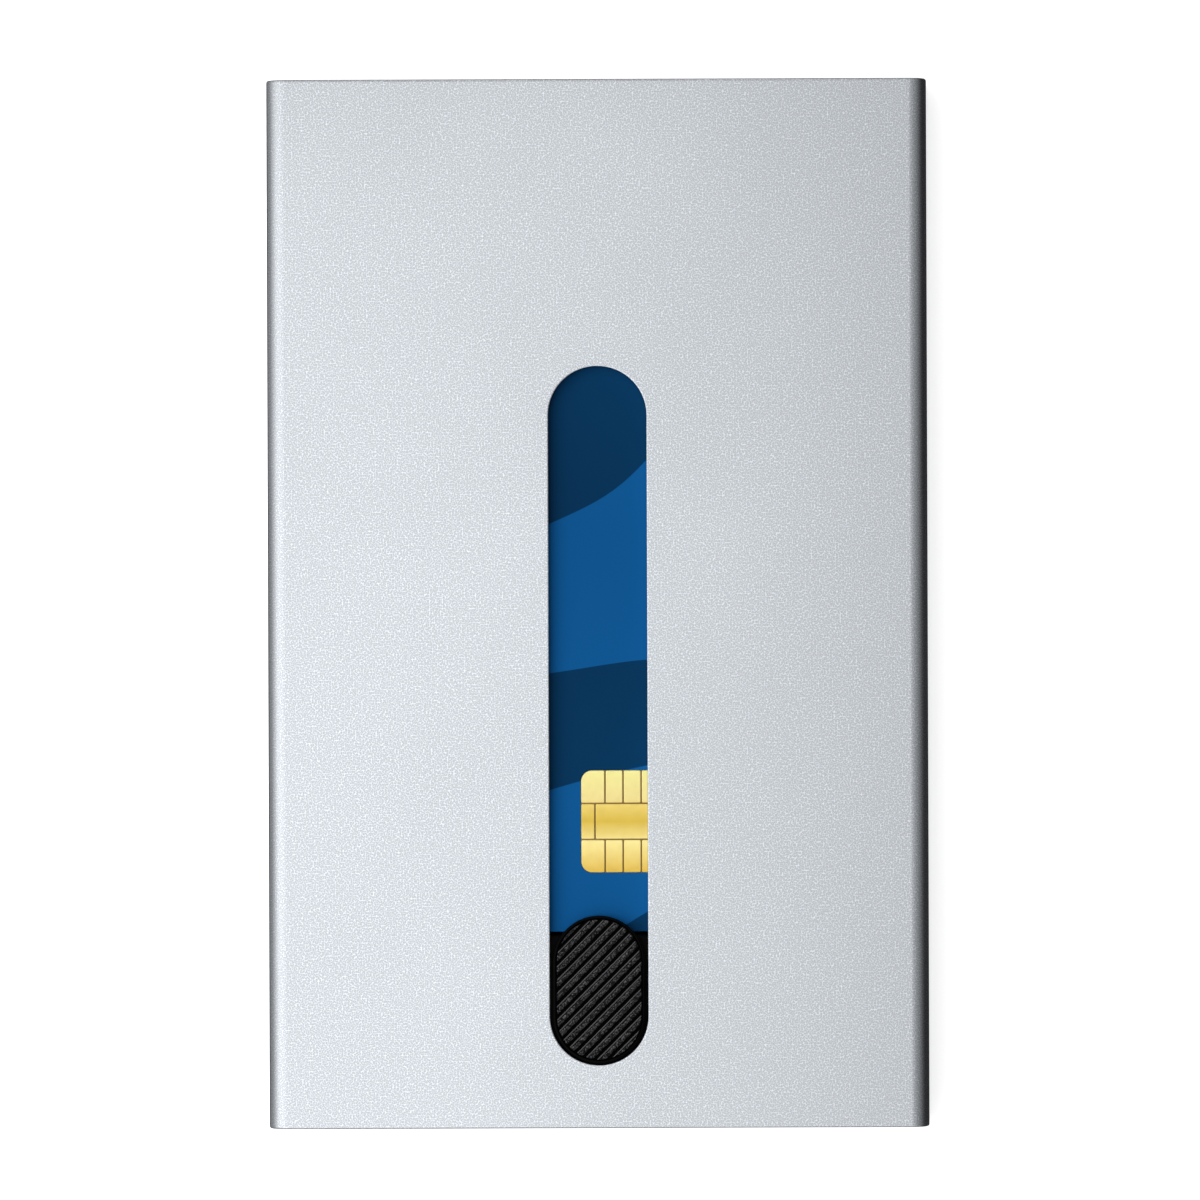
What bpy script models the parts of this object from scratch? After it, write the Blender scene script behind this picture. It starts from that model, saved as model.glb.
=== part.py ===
"""Slide-out card case: an aluminium sleeve whose thumb slider pushes the cards out of its mouth.

The case lies on its back. X runs across it, Y from its closed end to its mouth, and Z from its back
to its front face, which has the slot. The origin is the centre of the back face.
"""

import math

import bmesh
import bpy
from mathutils import Matrix, Vector

MM = 0.001

# The card that the case is sized for
CARD_WIDTH = 53.98 * MM
CARD_LENGTH = 85.6 * MM
CARD_THICKNESS = 0.76 * MM
CARD_CORNER_RADIUS = 3.18 * MM

# Its contact plate, with the lines between the contacts, and the moulded chip under the plate
CHIP_WIDTH = 8.5 * MM
CHIP_LENGTH = 10.3 * MM
CHIP_THICKNESS = 0.2 * MM
CHIP_CORNER_RADIUS = 1.1 * MM
CHIP_LEFT_OF_MIDDLE = 1.75 * MM
CHIP_FROM_CARD_END = 6.0 * MM
CHIP_POCKET_GAP = 0.04 * MM
CONTACT_LINE_WIDTH = 0.14 * MM
CONTACT_LINE_DEPTH = 0.08 * MM
CONTACTS_PER_ROW = 4
CONTACT_ROW_SHARE = 0.323
GROUND_LINE_SHARE = 0.165
FIRST_LINE_SHARE = 0.285
MODULE_WIDTH = 5.6 * MM
MODULE_LENGTH = 7.0 * MM
MODULE_THICKNESS = 0.3 * MM
MODULE_CORNER_RADIUS = 0.8 * MM

# The strips on the back of the card
STRIPE_WIDTH = 10.3 * MM
STRIPE_FROM_EDGE = 5.5 * MM
SIGNATURE_WIDTH = 9.5 * MM
SIGNATURE_LENGTH = 62.0 * MM
SIGNATURE_FROM_STRIPE = 5.0 * MM
FOIL_THICKNESS = 0.08 * MM
FOIL_GAP = 0.03 * MM

# Clearances between pieces
CARD_SIDE_CLEARANCE = 0.5 * MM
CARD_FRONT_CLEARANCE = 0.3 * MM
SEAT_GAP = 0.3 * MM
PRESS_GAP = 0.15 * MM
RUNNING_GAP = 0.25 * MM
CUT_OVERRUN = 0.5 * MM
JOIN_OVERLAP = 0.2 * MM

# Extruded sleeve
WALL = 1.0 * MM
CORNER_RADIUS = 1.8 * MM
CHAMBER_DEPTH = 7.0 * MM
CARD_SEAT_HEIGHT = 19.8 * MM
MOUTH_MARGIN = 0.6 * MM
EDGE_BREAK = 0.15 * MM
SLOT_WIDTH = 9.95 * MM
SLOT_TO_CLOSED_END = 6.35 * MM
SLOT_TO_MOUTH = 29.0 * MM

# Side rails, cored from outside, and the soft strips that brake the card edges
RAIL_WIDTH = 4.76 * MM
RAIL_MOUTH_RECESS = 0.8 * MM
RAIL_SKIN = 1.2 * MM
RAIL_POCKETS = 6
STRIP_LENGTH = 22.0 * MM
STRIP_THICKNESS = 0.7 * MM
STRIP_PROUD = 0.25 * MM
STRIP_ABOVE_CARRIAGE = 2.3 * MM

# Plug in the closed end, and its countersunk screws
PLUG_THICKNESS = 2.5 * MM
PLUG_RECESS = 0.3 * MM
PLUG_EDGE_BREAK = 0.25 * MM
SCREW_LENGTH = 8.0 * MM
SCREW_SHANK_RADIUS = 0.8 * MM
SCREW_HEAD_RADIUS = 1.5 * MM
SCREW_HEAD_RIM = 0.2 * MM
SCREW_HEAD_CONE = 0.7 * MM
SCREW_POINT = 0.8 * MM
SCREW_POINT_RADIUS = 0.25 * MM
SCREW_SINK = 0.1 * MM
RECESS_ARM_LENGTH = 1.7 * MM
RECESS_ARM_WIDTH = 0.4 * MM
RECESS_DEPTH = 0.45 * MM

# Lining sheet on the inside of the back
LINER_THICKNESS = 0.4 * MM
LINER_GAP = 0.1 * MM
LINER_SIDE_GAP = 0.3 * MM
LINER_MOUTH_RECESS = 1.6 * MM
LINER_CORNER_RADIUS = 1.5 * MM

# Carriage that carries the cards, and the leaf springs that hold it where it is put
CARRIAGE_PLATE = 1.2 * MM
CARRIAGE_LEDGE = 1.6 * MM
CARRIAGE_RIB = 1.2 * MM
CARRIAGE_SIDE_WALL = 2.8 * MM
CARRIAGE_EDGE_BREAK = 0.2 * MM
LEG_BAY_WIDTH = 8.8 * MM
POCKETS_BESIDE_BAY = 2
SPRING_THICKNESS = 0.2 * MM
SPRING_WIDTH = 3.0 * MM
SPRING_LENGTH = 10.0 * MM
SPRING_FOOT = 1.2 * MM
SPRING_POCKET_DEPTH = 1.1 * MM
SPRING_GAP = 0.1 * MM

# Thumb button in the slot, and its ribbed inlay
BUTTON_LENGTH = 14.85 * MM
BUTTON_SIDE_GAP = 0.35 * MM
BUTTON_END_GAP = 0.25 * MM
BUTTON_PROUD = 0.25 * MM
BUTTON_ROUNDING = 0.16 * MM
BUTTON_ABOVE_CARD = 0.35 * MM
BUTTON_SEAT_GAP = 0.1 * MM
BUTTON_RIM = 0.24 * MM
FOOT_INSET = 0.5 * MM
LEG_WIDTH = 2.4 * MM
LEG_THICKNESS = 0.9 * MM
LEG_BARB = 0.4 * MM
LEG_BARB_HEIGHT = 0.8 * MM
LEG_GAP = 0.2 * MM
INLAY_GAP = 0.06 * MM
INLAY_THICKNESS = 0.8 * MM
INLAY_PROUD = 0.5 * MM
GROOVE_PITCH = 0.95 * MM
GROOVE_WIDTH = 0.34 * MM
GROOVE_DEPTH = 0.3 * MM
GROOVE_ANGLE = math.radians(45)

# Facets in a quarter turn of each kind of curve
CORNER_STEPS = 8
SLOT_STEPS = 16
SCREW_STEPS = 6
SPRING_STEPS = 14
ROUNDING_STEPS = 3
WELD = 0.001 * MM
SHARP_ANGLE = math.radians(50)

# Sleeve, rails and liner, worked out from the sizes above
RAIL_INNER_X = CARD_WIDTH / 2 + CARD_SIDE_CLEARANCE
RAIL_OUTER_X = RAIL_INNER_X + RAIL_WIDTH
CASE_WIDTH = 2 * (RAIL_OUTER_X + PRESS_GAP + WALL)
CASE_LENGTH = CARD_SEAT_HEIGHT + CARD_LENGTH + MOUTH_MARGIN
CASE_THICKNESS = CHAMBER_DEPTH + 2 * WALL
CLOSED_END_Y = -CASE_LENGTH / 2
MOUTH_Y = CASE_LENGTH / 2
BACK_INSIDE_Z = WALL
FRONT_INSIDE_Z = WALL + CHAMBER_DEPTH
MIDDLE_Z = CASE_THICKNESS / 2
SLOT_LOW_Y = CLOSED_END_Y + SLOT_TO_CLOSED_END
SLOT_HIGH_Y = MOUTH_Y - SLOT_TO_MOUTH
FILLER_HEIGHT = CHAMBER_DEPTH - 2 * PRESS_GAP
FILLER_RADIUS = CORNER_RADIUS - WALL - PRESS_GAP
PLUG_LOW_Y = CLOSED_END_Y + PLUG_RECESS
PLUG_HIGH_Y = PLUG_LOW_Y + PLUG_THICKNESS
RAIL_LOW_Y = PLUG_HIGH_Y + PRESS_GAP
RAIL_HIGH_Y = MOUTH_Y - RAIL_MOUTH_RECESS
SCREW_X = (RAIL_INNER_X + RAIL_OUTER_X) / 2
SCREW_HEAD_Y = PLUG_LOW_Y + SCREW_SINK
SCREW_HOLE_RADIUS = SCREW_SHANK_RADIUS + PRESS_GAP
PILOT_DEPTH = SCREW_HEAD_Y + SCREW_LENGTH + PRESS_GAP - RAIL_LOW_Y
LINER_LOW_Z = BACK_INSIDE_Z + LINER_GAP
LINER_HIGH_Z = LINER_LOW_Z + LINER_THICKNESS
STRIP_INNER_X = RAIL_INNER_X - STRIP_PROUD

# Card and its strips
CARD_LOW_Y = CLOSED_END_Y + CARD_SEAT_HEIGHT
CARD_FRONT_Z = FRONT_INSIDE_Z - CARD_FRONT_CLEARANCE
CARD_BACK_Z = CARD_FRONT_Z - CARD_THICKNESS
CARD_MIDDLE_Y = CARD_LOW_Y + CARD_LENGTH / 2
CHIP_MIDDLE = (CHIP_WIDTH / 2 - CHIP_LEFT_OF_MIDDLE, CARD_LOW_Y + CHIP_FROM_CARD_END + CHIP_LENGTH / 2)
CHIP_FLOOR_Z = CARD_FRONT_Z - CHIP_THICKNESS - CHIP_POCKET_GAP
STRIPE_LOW_X = STRIPE_FROM_EDGE - CARD_WIDTH / 2
SIGNATURE_LOW_X = STRIPE_LOW_X + STRIPE_WIDTH + SIGNATURE_FROM_STRIPE

# Carriage, springs and button
CARRIAGE_HALF_WIDTH = STRIP_INNER_X - RUNNING_GAP
CARRIAGE_LOW_Y = PLUG_HIGH_Y + RUNNING_GAP
CARRIAGE_HIGH_Y = CARD_LOW_Y - SEAT_GAP
CARRIAGE_MIDDLE_Y = (CARRIAGE_LOW_Y + CARRIAGE_HIGH_Y) / 2
CARRIAGE_FRONT_Z = FRONT_INSIDE_Z - RUNNING_GAP
CARRIAGE_BACK_Z = LINER_HIGH_Z + RUNNING_GAP
PLATE_BACK_Z = CARRIAGE_FRONT_Z - CARRIAGE_PLATE
POCKET_LOW_Y = CARRIAGE_LOW_Y + CARRIAGE_LEDGE
POCKET_HIGH_Y = CARRIAGE_HIGH_Y - CARRIAGE_LEDGE
SPRING_FLOOR_X = CARRIAGE_HALF_WIDTH - SPRING_POCKET_DEPTH
BUTTON_WIDTH = SLOT_WIDTH - 2 * BUTTON_SIDE_GAP
BUTTON_LOW_Y = SLOT_LOW_Y + BUTTON_END_GAP
BUTTON_MIDDLE_Y = BUTTON_LOW_Y + BUTTON_LENGTH / 2
BUTTON_FRONT_Z = CASE_THICKNESS + BUTTON_PROUD
BUTTON_UNDER_Z = CARD_FRONT_Z + BUTTON_ABOVE_CARD
FOOT_LOW_Y = BUTTON_LOW_Y + FOOT_INSET
FOOT_HIGH_Y = CARRIAGE_HIGH_Y - FOOT_INSET
LEG_REACH = LEG_THICKNESS / 2 + LEG_BARB + LEG_GAP
LEG_LOW_Y = max(FOOT_LOW_Y, POCKET_LOW_Y) + LEG_REACH
LEG_HIGH_Y = min(FOOT_HIGH_Y, POCKET_HIGH_Y) - LEG_REACH
INLAY_FRONT_Z = CASE_THICKNESS + INLAY_PROUD
INLAY_BACK_Z = INLAY_FRONT_Z - INLAY_THICKNESS
TRAVEL = SLOT_HIGH_Y - SLOT_LOW_Y - BUTTON_LENGTH - 2 * BUTTON_END_GAP
STRIP_LOW_Y = CARRIAGE_HIGH_Y + TRAVEL + STRIP_ABOVE_CARRIAGE
STRIP_HIGH_Y = STRIP_LOW_Y + STRIP_LENGTH

SIDES = ((-1, "left"), (1, "right"))
TOWARDS_CLOSED_END = Matrix.Rotation(math.pi / 2, 4, "X")


# Scene, collections and materials


def clear_scene():
    """Empty the scene, so that the file can be run again."""
    for old in list(bpy.data.objects):
        bpy.data.objects.remove(old)


def new_collection(name):
    """A collection linked to the scene."""
    made = bpy.data.collections.new(name)
    bpy.context.scene.collection.children.link(made)
    return made


def new_material(name, colour, roughness, metallic=0.0):
    """A plain Principled finish."""
    made = bpy.data.materials.new(name)
    made.use_nodes = True
    shader = made.node_tree.nodes["Principled BSDF"]
    shader.inputs["Base Color"].default_value = (*colour, 1.0)
    shader.inputs["Roughness"].default_value = roughness
    shader.inputs["Metallic"].default_value = metallic
    return made


def hang(child, parent):
    """Parent an object where it stands."""
    bpy.context.view_layer.update()
    child.parent = parent
    child.matrix_parent_inverse = parent.matrix_world.inverted()
    return child


def new_empty(name, place, parent=None):
    """An empty that a group of pieces hangs on."""
    made = bpy.data.objects.new(name, None)
    made.location = place
    PIECES.objects.link(made)
    return hang(made, parent) if parent else made


def finish(piece, material, parent):
    """Give a piece its material, its smooth round faces and its parent."""
    piece.data.materials.clear()
    piece.data.materials.append(material)
    piece.data.shade_smooth()
    piece.data.set_sharp_from_angle(angle=SHARP_ANGLE)
    return hang(piece, parent)


# Outlines, as lists of pairs


def arc(centre_x, centre_y, radius, start, sweep, steps):
    """Points along an arc, ends included."""
    angles = [start + sweep * i / steps for i in range(steps + 1)]
    return [(centre_x + radius * math.cos(angle), centre_y + radius * math.sin(angle)) for angle in angles]


def rounded_rectangle(width, height, radius):
    """A rectangle with four equal round corners, about its middle."""
    reach_x = width / 2 - radius
    reach_y = height / 2 - radius
    quarter = math.pi / 2
    points = []
    for turn, (sign_x, sign_y) in enumerate(((1, 1), (-1, 1), (-1, -1), (1, -1))):
        points += arc(sign_x * reach_x, sign_y * reach_y, radius, turn * quarter, quarter, CORNER_STEPS)
    return points


def obround(width, length):
    """A slot shape with round ends, its length along the second axis."""
    radius = width / 2
    reach = length / 2 - radius
    upper = arc(0, reach, radius, 0, math.pi, 2 * SLOT_STEPS)
    lower = arc(0, -reach, radius, math.pi, math.pi, 2 * SLOT_STEPS)
    return upper + lower


# Solids


def add_piece(name, mesh):
    """An object in the case's collection."""
    made = bpy.data.objects.new(name, mesh)
    PIECES.objects.link(made)
    return made


def prism(name, outline, low, high, middle=(0, 0), along="Z", caps=True):
    """The outline drawn out from low to high along an axis, as a welded mesh.

    Along Z the outline lies in X and Y, along Y in X and Z, and along X in Y and Z.
    """
    curve = bpy.data.curves.new(name, "CURVE")
    curve.dimensions = "2D"
    curve.fill_mode = "BOTH" if caps else "NONE"
    curve.extrude = (high - low) / 2
    spline = curve.splines.new("POLY")
    spline.points.add(len(outline) - 1)
    for point, (x, y) in zip(spline.points, outline):
        point.co = (x, y, 0, 1)
    spline.use_cyclic_u = True
    drawn = add_piece(name + "_outline", curve)
    centre = (low + high) / 2
    upright = Matrix.Rotation(math.pi / 2, 4, "X")
    sideways = Matrix.Rotation(math.pi / 2, 4, "Z") @ upright
    drawn.matrix_world = {
        "Z": Matrix.Translation((middle[0], middle[1], centre)),
        "Y": Matrix.Translation((middle[0], centre, middle[1])) @ upright,
        "X": Matrix.Translation((centre, middle[0], middle[1])) @ sideways,
    }[along]
    bpy.context.view_layer.update()
    mesh = bpy.data.meshes.new_from_object(drawn.evaluated_get(bpy.context.evaluated_depsgraph_get()))
    body = bmesh.new()
    body.from_mesh(mesh)
    bmesh.ops.remove_doubles(body, verts=body.verts, dist=WELD)
    bmesh.ops.recalc_face_normals(body, faces=body.faces)
    body.to_mesh(mesh)
    body.free()
    made = add_piece(name, mesh)
    made.matrix_world = drawn.matrix_world
    bpy.data.objects.remove(drawn)
    return made


def box(name, corner, opposite):
    """A box between two opposite corners, with its origin at its middle."""
    size = [abs(b - a) for a, b in zip(corner, opposite)]
    mesh = bpy.data.meshes.new(name)
    body = bmesh.new()
    bmesh.ops.create_cube(body, size=1, matrix=Matrix.Diagonal((*size, 1)))
    body.to_mesh(mesh)
    body.free()
    made = add_piece(name, mesh)
    made.location = (Vector(corner) + Vector(opposite)) / 2
    return made


def turned(name, profile, place):
    """Radius and height pairs, top to bottom, turned about an axis that points out of the closed end."""
    mesh = bpy.data.meshes.new(name)
    points = [(radius, 0, height) for radius, height in profile]
    mesh.from_pydata(points, [(i, i + 1) for i in range(len(points) - 1)], [])
    made = add_piece(name, mesh)
    screw = made.modifiers.new("turn", "SCREW")
    screw.steps = 4 * SCREW_STEPS
    screw.render_steps = 4 * SCREW_STEPS
    screw.use_merge_vertices = True
    screw.merge_threshold = WELD
    made.matrix_world = Matrix.Translation(place) @ TOWARDS_CLOSED_END
    return made


def boolean(piece, tool, operation):
    """Cut, join or clip a piece with a helper shape, which leaves the finished object."""
    PIECES.objects.unlink(tool)
    HELPERS.objects.link(tool)
    tool.hide_render = True
    tool.display_type = "WIRE"
    step = piece.modifiers.new(tool.name, "BOOLEAN")
    step.operation = operation
    step.object = tool
    return piece


def cut(piece, tool):
    """Take the tool's shape out of the piece."""
    return boolean(piece, tool, "DIFFERENCE")


def join(piece, tool):
    """Add the tool's shape to the piece."""
    return boolean(piece, tool, "UNION")


def soften(piece, width, segments=1):
    """Break the sharp edges of a piece."""
    bevel = piece.modifiers.new("edge_break", "BEVEL")
    bevel.width = width
    bevel.segments = segments
    bevel.limit_method = "ANGLE"
    bevel.angle_limit = SHARP_ANGLE
    return piece


def round_front_rim(piece, radius):
    """Round the rim of an upright prism's front face."""
    body = bmesh.new()
    body.from_mesh(piece.data)
    front = max(corner.co.z for corner in body.verts)
    walls = [face for face in body.faces if abs(face.normal.z) < 0.5]
    rim = {edge for face in walls for edge in face.edges if all(front - v.co.z < WELD for v in edge.verts)}
    bmesh.ops.bevel(
        body, geom=list(rim), offset=radius, segments=ROUNDING_STEPS, profile=0.5, affect="EDGES"
    )
    body.to_mesh(piece.data)
    body.free()
    return piece


# Pieces that stay with the case


def make_sleeve():
    """Extruded tube: an open rounded ring, given its wall, with the thumb slot cut through the front."""
    ring = rounded_rectangle(CASE_WIDTH, CASE_THICKNESS, CORNER_RADIUS)
    sleeve = prism("sleeve", ring, CLOSED_END_Y, MOUTH_Y, (0, MIDDLE_Z), "Y", caps=False)
    wall = sleeve.modifiers.new("wall", "SOLIDIFY")
    wall.thickness = WALL
    wall.offset = -1
    wall.use_even_offset = True
    slot = prism(
        "thumb_slot",
        obround(SLOT_WIDTH, SLOT_HIGH_Y - SLOT_LOW_Y),
        FRONT_INSIDE_Z - CUT_OVERRUN,
        CASE_THICKNESS + CUT_OVERRUN,
        (0, (SLOT_LOW_Y + SLOT_HIGH_Y) / 2),
    )
    cut(sleeve, slot)
    return soften(sleeve, EDGE_BREAK)


def make_base_plug():
    """Moulded plug that closes the lower end, countersunk for two screws."""
    outline = rounded_rectangle(2 * RAIL_OUTER_X, FILLER_HEIGHT, FILLER_RADIUS)
    plug = prism("base_plug", outline, PLUG_LOW_Y, PLUG_HIGH_Y, (0, MIDDLE_Z), "Y")
    soften(plug, PLUG_EDGE_BREAK, 2)
    sink_radius = SCREW_HEAD_RADIUS + PRESS_GAP
    sink_floor = -SCREW_SINK - SCREW_HEAD_RIM - PRESS_GAP
    through = -PLUG_THICKNESS - CUT_OVERRUN
    for side, name in SIDES:
        profile = [
            (0, CUT_OVERRUN),
            (sink_radius, CUT_OVERRUN),
            (sink_radius, sink_floor),
            (SCREW_HOLE_RADIUS, sink_floor - SCREW_HEAD_CONE),
            (SCREW_HOLE_RADIUS, through),
            (0, through),
        ]
        cut(plug, turned("screw_hole_" + name, profile, (side * SCREW_X, PLUG_LOW_Y, MIDDLE_Z)))
    return plug


def make_plug_screw(side, name):
    """Countersunk self-tapping screw with a cross recess, run into the end of a rail."""
    x = side * SCREW_X
    profile = [
        (0, 0),
        (SCREW_HEAD_RADIUS, 0),
        (SCREW_HEAD_RADIUS, -SCREW_HEAD_RIM),
        (SCREW_SHANK_RADIUS, -SCREW_HEAD_RIM - SCREW_HEAD_CONE),
        (SCREW_SHANK_RADIUS, SCREW_POINT - SCREW_LENGTH),
        (SCREW_POINT_RADIUS, -SCREW_LENGTH),
        (0, -SCREW_LENGTH),
    ]
    screw = turned("plug_screw_" + name, profile, (x, SCREW_HEAD_Y, MIDDLE_Z))
    long_half, short_half = RECESS_ARM_LENGTH / 2, RECESS_ARM_WIDTH / 2
    for number, (half_x, half_z) in enumerate(((long_half, short_half), (short_half, long_half))):
        arm = box(
            f"cross_recess_{name}_{number + 1}",
            (x - half_x, SCREW_HEAD_Y - CUT_OVERRUN, MIDDLE_Z - half_z),
            (x + half_x, SCREW_HEAD_Y + RECESS_DEPTH, MIDDLE_Z + half_z),
        )
        cut(screw, arm)
    return screw


def make_side_rail(side, name):
    """Moulded filler beside the cards: cored from outside, with a seat for its soft strip inside."""
    outline = rounded_rectangle(RAIL_WIDTH, FILLER_HEIGHT, FILLER_RADIUS)
    rail = prism("side_rail_" + name, outline, RAIL_LOW_Y, RAIL_HIGH_Y, (side * SCREW_X, MIDDLE_Z), "Y")
    first_y = RAIL_LOW_Y + PILOT_DEPTH + RAIL_SKIN
    last_y = STRIP_LOW_Y - PRESS_GAP - RAIL_SKIN
    pitch = (last_y - first_y + RAIL_SKIN) / RAIL_POCKETS
    half_height = FILLER_HEIGHT / 2 - RAIL_SKIN
    for number in range(RAIL_POCKETS):
        low_y = first_y + number * pitch
        pocket = box(
            f"rail_pocket_{name}_{number + 1}",
            (side * (RAIL_INNER_X + RAIL_SKIN), low_y, MIDDLE_Z - half_height),
            (side * (RAIL_OUTER_X + CUT_OVERRUN), low_y + pitch - RAIL_SKIN, MIDDLE_Z + half_height),
        )
        cut(rail, pocket)
    seat = box(
        "strip_seat_" + name,
        (side * (RAIL_INNER_X - CUT_OVERRUN), STRIP_LOW_Y - PRESS_GAP, BACK_INSIDE_Z),
        (side * (STRIP_INNER_X + STRIP_THICKNESS + PRESS_GAP), STRIP_HIGH_Y + PRESS_GAP, FRONT_INSIDE_Z),
    )
    cut(rail, seat)
    profile = [
        (0, CUT_OVERRUN),
        (SCREW_HOLE_RADIUS, CUT_OVERRUN),
        (SCREW_HOLE_RADIUS, -PILOT_DEPTH),
        (0, -PILOT_DEPTH),
    ]
    return cut(rail, turned("pilot_hole_" + name, profile, (side * SCREW_X, RAIL_LOW_Y, MIDDLE_Z)))


def make_grip_strip(side, name):
    """Soft strip, as high as the rail, that brakes the edges of the cards near the mouth."""
    return box(
        "grip_strip_" + name,
        (side * STRIP_INNER_X, STRIP_LOW_Y, MIDDLE_Z - FILLER_HEIGHT / 2),
        (side * (STRIP_INNER_X + STRIP_THICKNESS), STRIP_HIGH_Y, MIDDLE_Z + FILLER_HEIGHT / 2),
    )


def make_back_liner():
    """Thin sheet that keeps the cards off the metal."""
    low_y = CARRIAGE_LOW_Y
    high_y = MOUTH_Y - LINER_MOUTH_RECESS
    outline = rounded_rectangle(2 * (RAIL_INNER_X - LINER_SIDE_GAP), high_y - low_y, LINER_CORNER_RADIUS)
    return prism("back_liner", outline, LINER_LOW_Z, LINER_HIGH_Z, (0, (low_y + high_y) / 2))


# Pieces that slide with the button


def carriage_pockets():
    """Limits in X of the carriage's pockets: one bay for the button's legs, and some on each side."""
    bay = LEG_BAY_WIDTH / 2
    reach = CARRIAGE_HALF_WIDTH - CARRIAGE_SIDE_WALL - bay
    pitch = reach / POCKETS_BESIDE_BAY
    limits = [(-bay, bay)]
    for side, _ in SIDES:
        for number in range(POCKETS_BESIDE_BAY):
            near = bay + number * pitch + CARRIAGE_RIB
            limits.append((side * near, side * (bay + (number + 1) * pitch)))
    return limits


def make_carriage():
    """Moulded carriage: a ledge for the cards and a plate behind the front wall, cored from the back."""
    carriage = box(
        "carriage",
        (-CARRIAGE_HALF_WIDTH, CARRIAGE_LOW_Y, CARRIAGE_BACK_Z),
        (CARRIAGE_HALF_WIDTH, CARRIAGE_HIGH_Y, CARRIAGE_FRONT_Z),
    )
    soften(carriage, CARRIAGE_EDGE_BREAK)
    for number, (near_x, far_x) in enumerate(carriage_pockets()):
        pocket = box(
            f"carriage_pocket_{number + 1}",
            (near_x, POCKET_LOW_Y, CARRIAGE_BACK_Z - CUT_OVERRUN),
            (far_x, POCKET_HIGH_Y, PLATE_BACK_Z),
        )
        cut(carriage, pocket)
    half_length = SPRING_LENGTH / 2 + PRESS_GAP
    half_width = SPRING_WIDTH / 2 + PRESS_GAP
    outside_x = CARRIAGE_HALF_WIDTH + CUT_OVERRUN
    for side, name in SIDES:
        pocket = box(
            "spring_pocket_" + name,
            (side * SPRING_FLOOR_X, CARRIAGE_MIDDLE_Y - half_length, MIDDLE_Z - half_width),
            (side * outside_x, CARRIAGE_MIDDLE_Y + half_length, MIDDLE_Z + half_width),
        )
        cut(carriage, pocket)
    half_width = LEG_WIDTH / 2 + LEG_GAP
    half_length = LEG_THICKNESS / 2 + LEG_GAP
    for number, leg_y in enumerate((LEG_LOW_Y, LEG_HIGH_Y)):
        window = box(
            f"leg_window_{number + 1}",
            (-half_width, leg_y - half_length, PLATE_BACK_Z - CUT_OVERRUN),
            (half_width, leg_y + half_length, CARRIAGE_FRONT_Z + CUT_OVERRUN),
        )
        cut(carriage, window)
    return carriage


def make_brake_spring(side, name):
    """Bowed leaf spring: two flat feet in the carriage's pocket and a crest against the rail."""
    half_bow = SPRING_LENGTH / 2 - SPRING_FOOT
    foot_x = SPRING_FLOOR_X + SPRING_GAP
    rise = RAIL_INNER_X - SPRING_GAP - SPRING_THICKNESS - foot_x
    line = [(foot_x, -SPRING_LENGTH / 2)]
    for i in range(SPRING_STEPS + 1):
        along = half_bow * (2 * i / SPRING_STEPS - 1)
        line.append((foot_x + rise * (1 + math.cos(math.pi * along / half_bow)) / 2, along))
    line.append((foot_x, SPRING_LENGTH / 2))
    outer_line = [(x + SPRING_THICKNESS, y) for x, y in reversed(line)]
    outline = [(side * x, y) for x, y in line + outer_line]
    half_width = SPRING_WIDTH / 2
    low_z, high_z = MIDDLE_Z - half_width, MIDDLE_Z + half_width
    return prism("brake_spring_" + name, outline, low_z, high_z, (0, CARRIAGE_MIDDLE_Y))


def snap_leg(number, leg_y, outward):
    """Leg of the button with a barb that catches behind the carriage's plate."""
    half = outward * LEG_THICKNESS / 2
    catch_z = PLATE_BACK_Z - BUTTON_SEAT_GAP
    tip_z = catch_z - LEG_BARB_HEIGHT
    root_z = BUTTON_UNDER_Z + JOIN_OVERLAP
    barb = half + outward * LEG_BARB
    plain_side = [(-half, root_z), (-half, tip_z)]
    barbed_side = [(half, tip_z), (barb, catch_z), (half, catch_z), (half, root_z)]
    half_width = LEG_WIDTH / 2
    return prism(f"snap_leg_{number}", plain_side + barbed_side, -half_width, half_width, (leg_y, 0), "X")


def make_thumb_button():
    """Button in the slot: a rounded rim round a recess, on a foot with two snap legs."""
    button = prism(
        "thumb_button",
        obround(BUTTON_WIDTH, BUTTON_LENGTH),
        BUTTON_UNDER_Z,
        BUTTON_FRONT_Z,
        (0, BUTTON_MIDDLE_Y),
    )
    round_front_rim(button, BUTTON_ROUNDING)
    foot = prism(
        "button_foot",
        obround(BUTTON_WIDTH - 2 * FOOT_INSET, BUTTON_LENGTH - 2 * FOOT_INSET),
        CARRIAGE_FRONT_Z + BUTTON_SEAT_GAP,
        BUTTON_UNDER_Z + JOIN_OVERLAP,
        (0, BUTTON_MIDDLE_Y),
    )
    room_for_card = box(
        "room_for_card",
        (-BUTTON_WIDTH / 2, FOOT_HIGH_Y, CARRIAGE_FRONT_Z),
        (BUTTON_WIDTH / 2, CARRIAGE_HIGH_Y + BUTTON_LENGTH, BUTTON_UNDER_Z + 2 * JOIN_OVERLAP),
    )
    cut(foot, room_for_card)
    join(button, foot)
    join(button, snap_leg(1, LEG_LOW_Y, -1))
    join(button, snap_leg(2, LEG_HIGH_Y, 1))
    recess = prism(
        "inlay_recess",
        obround(BUTTON_WIDTH - 2 * BUTTON_RIM, BUTTON_LENGTH - 2 * BUTTON_RIM),
        INLAY_BACK_Z - INLAY_GAP,
        BUTTON_FRONT_Z + CUT_OVERRUN,
        (0, BUTTON_MIDDLE_Y),
    )
    return cut(button, recess)


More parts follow.
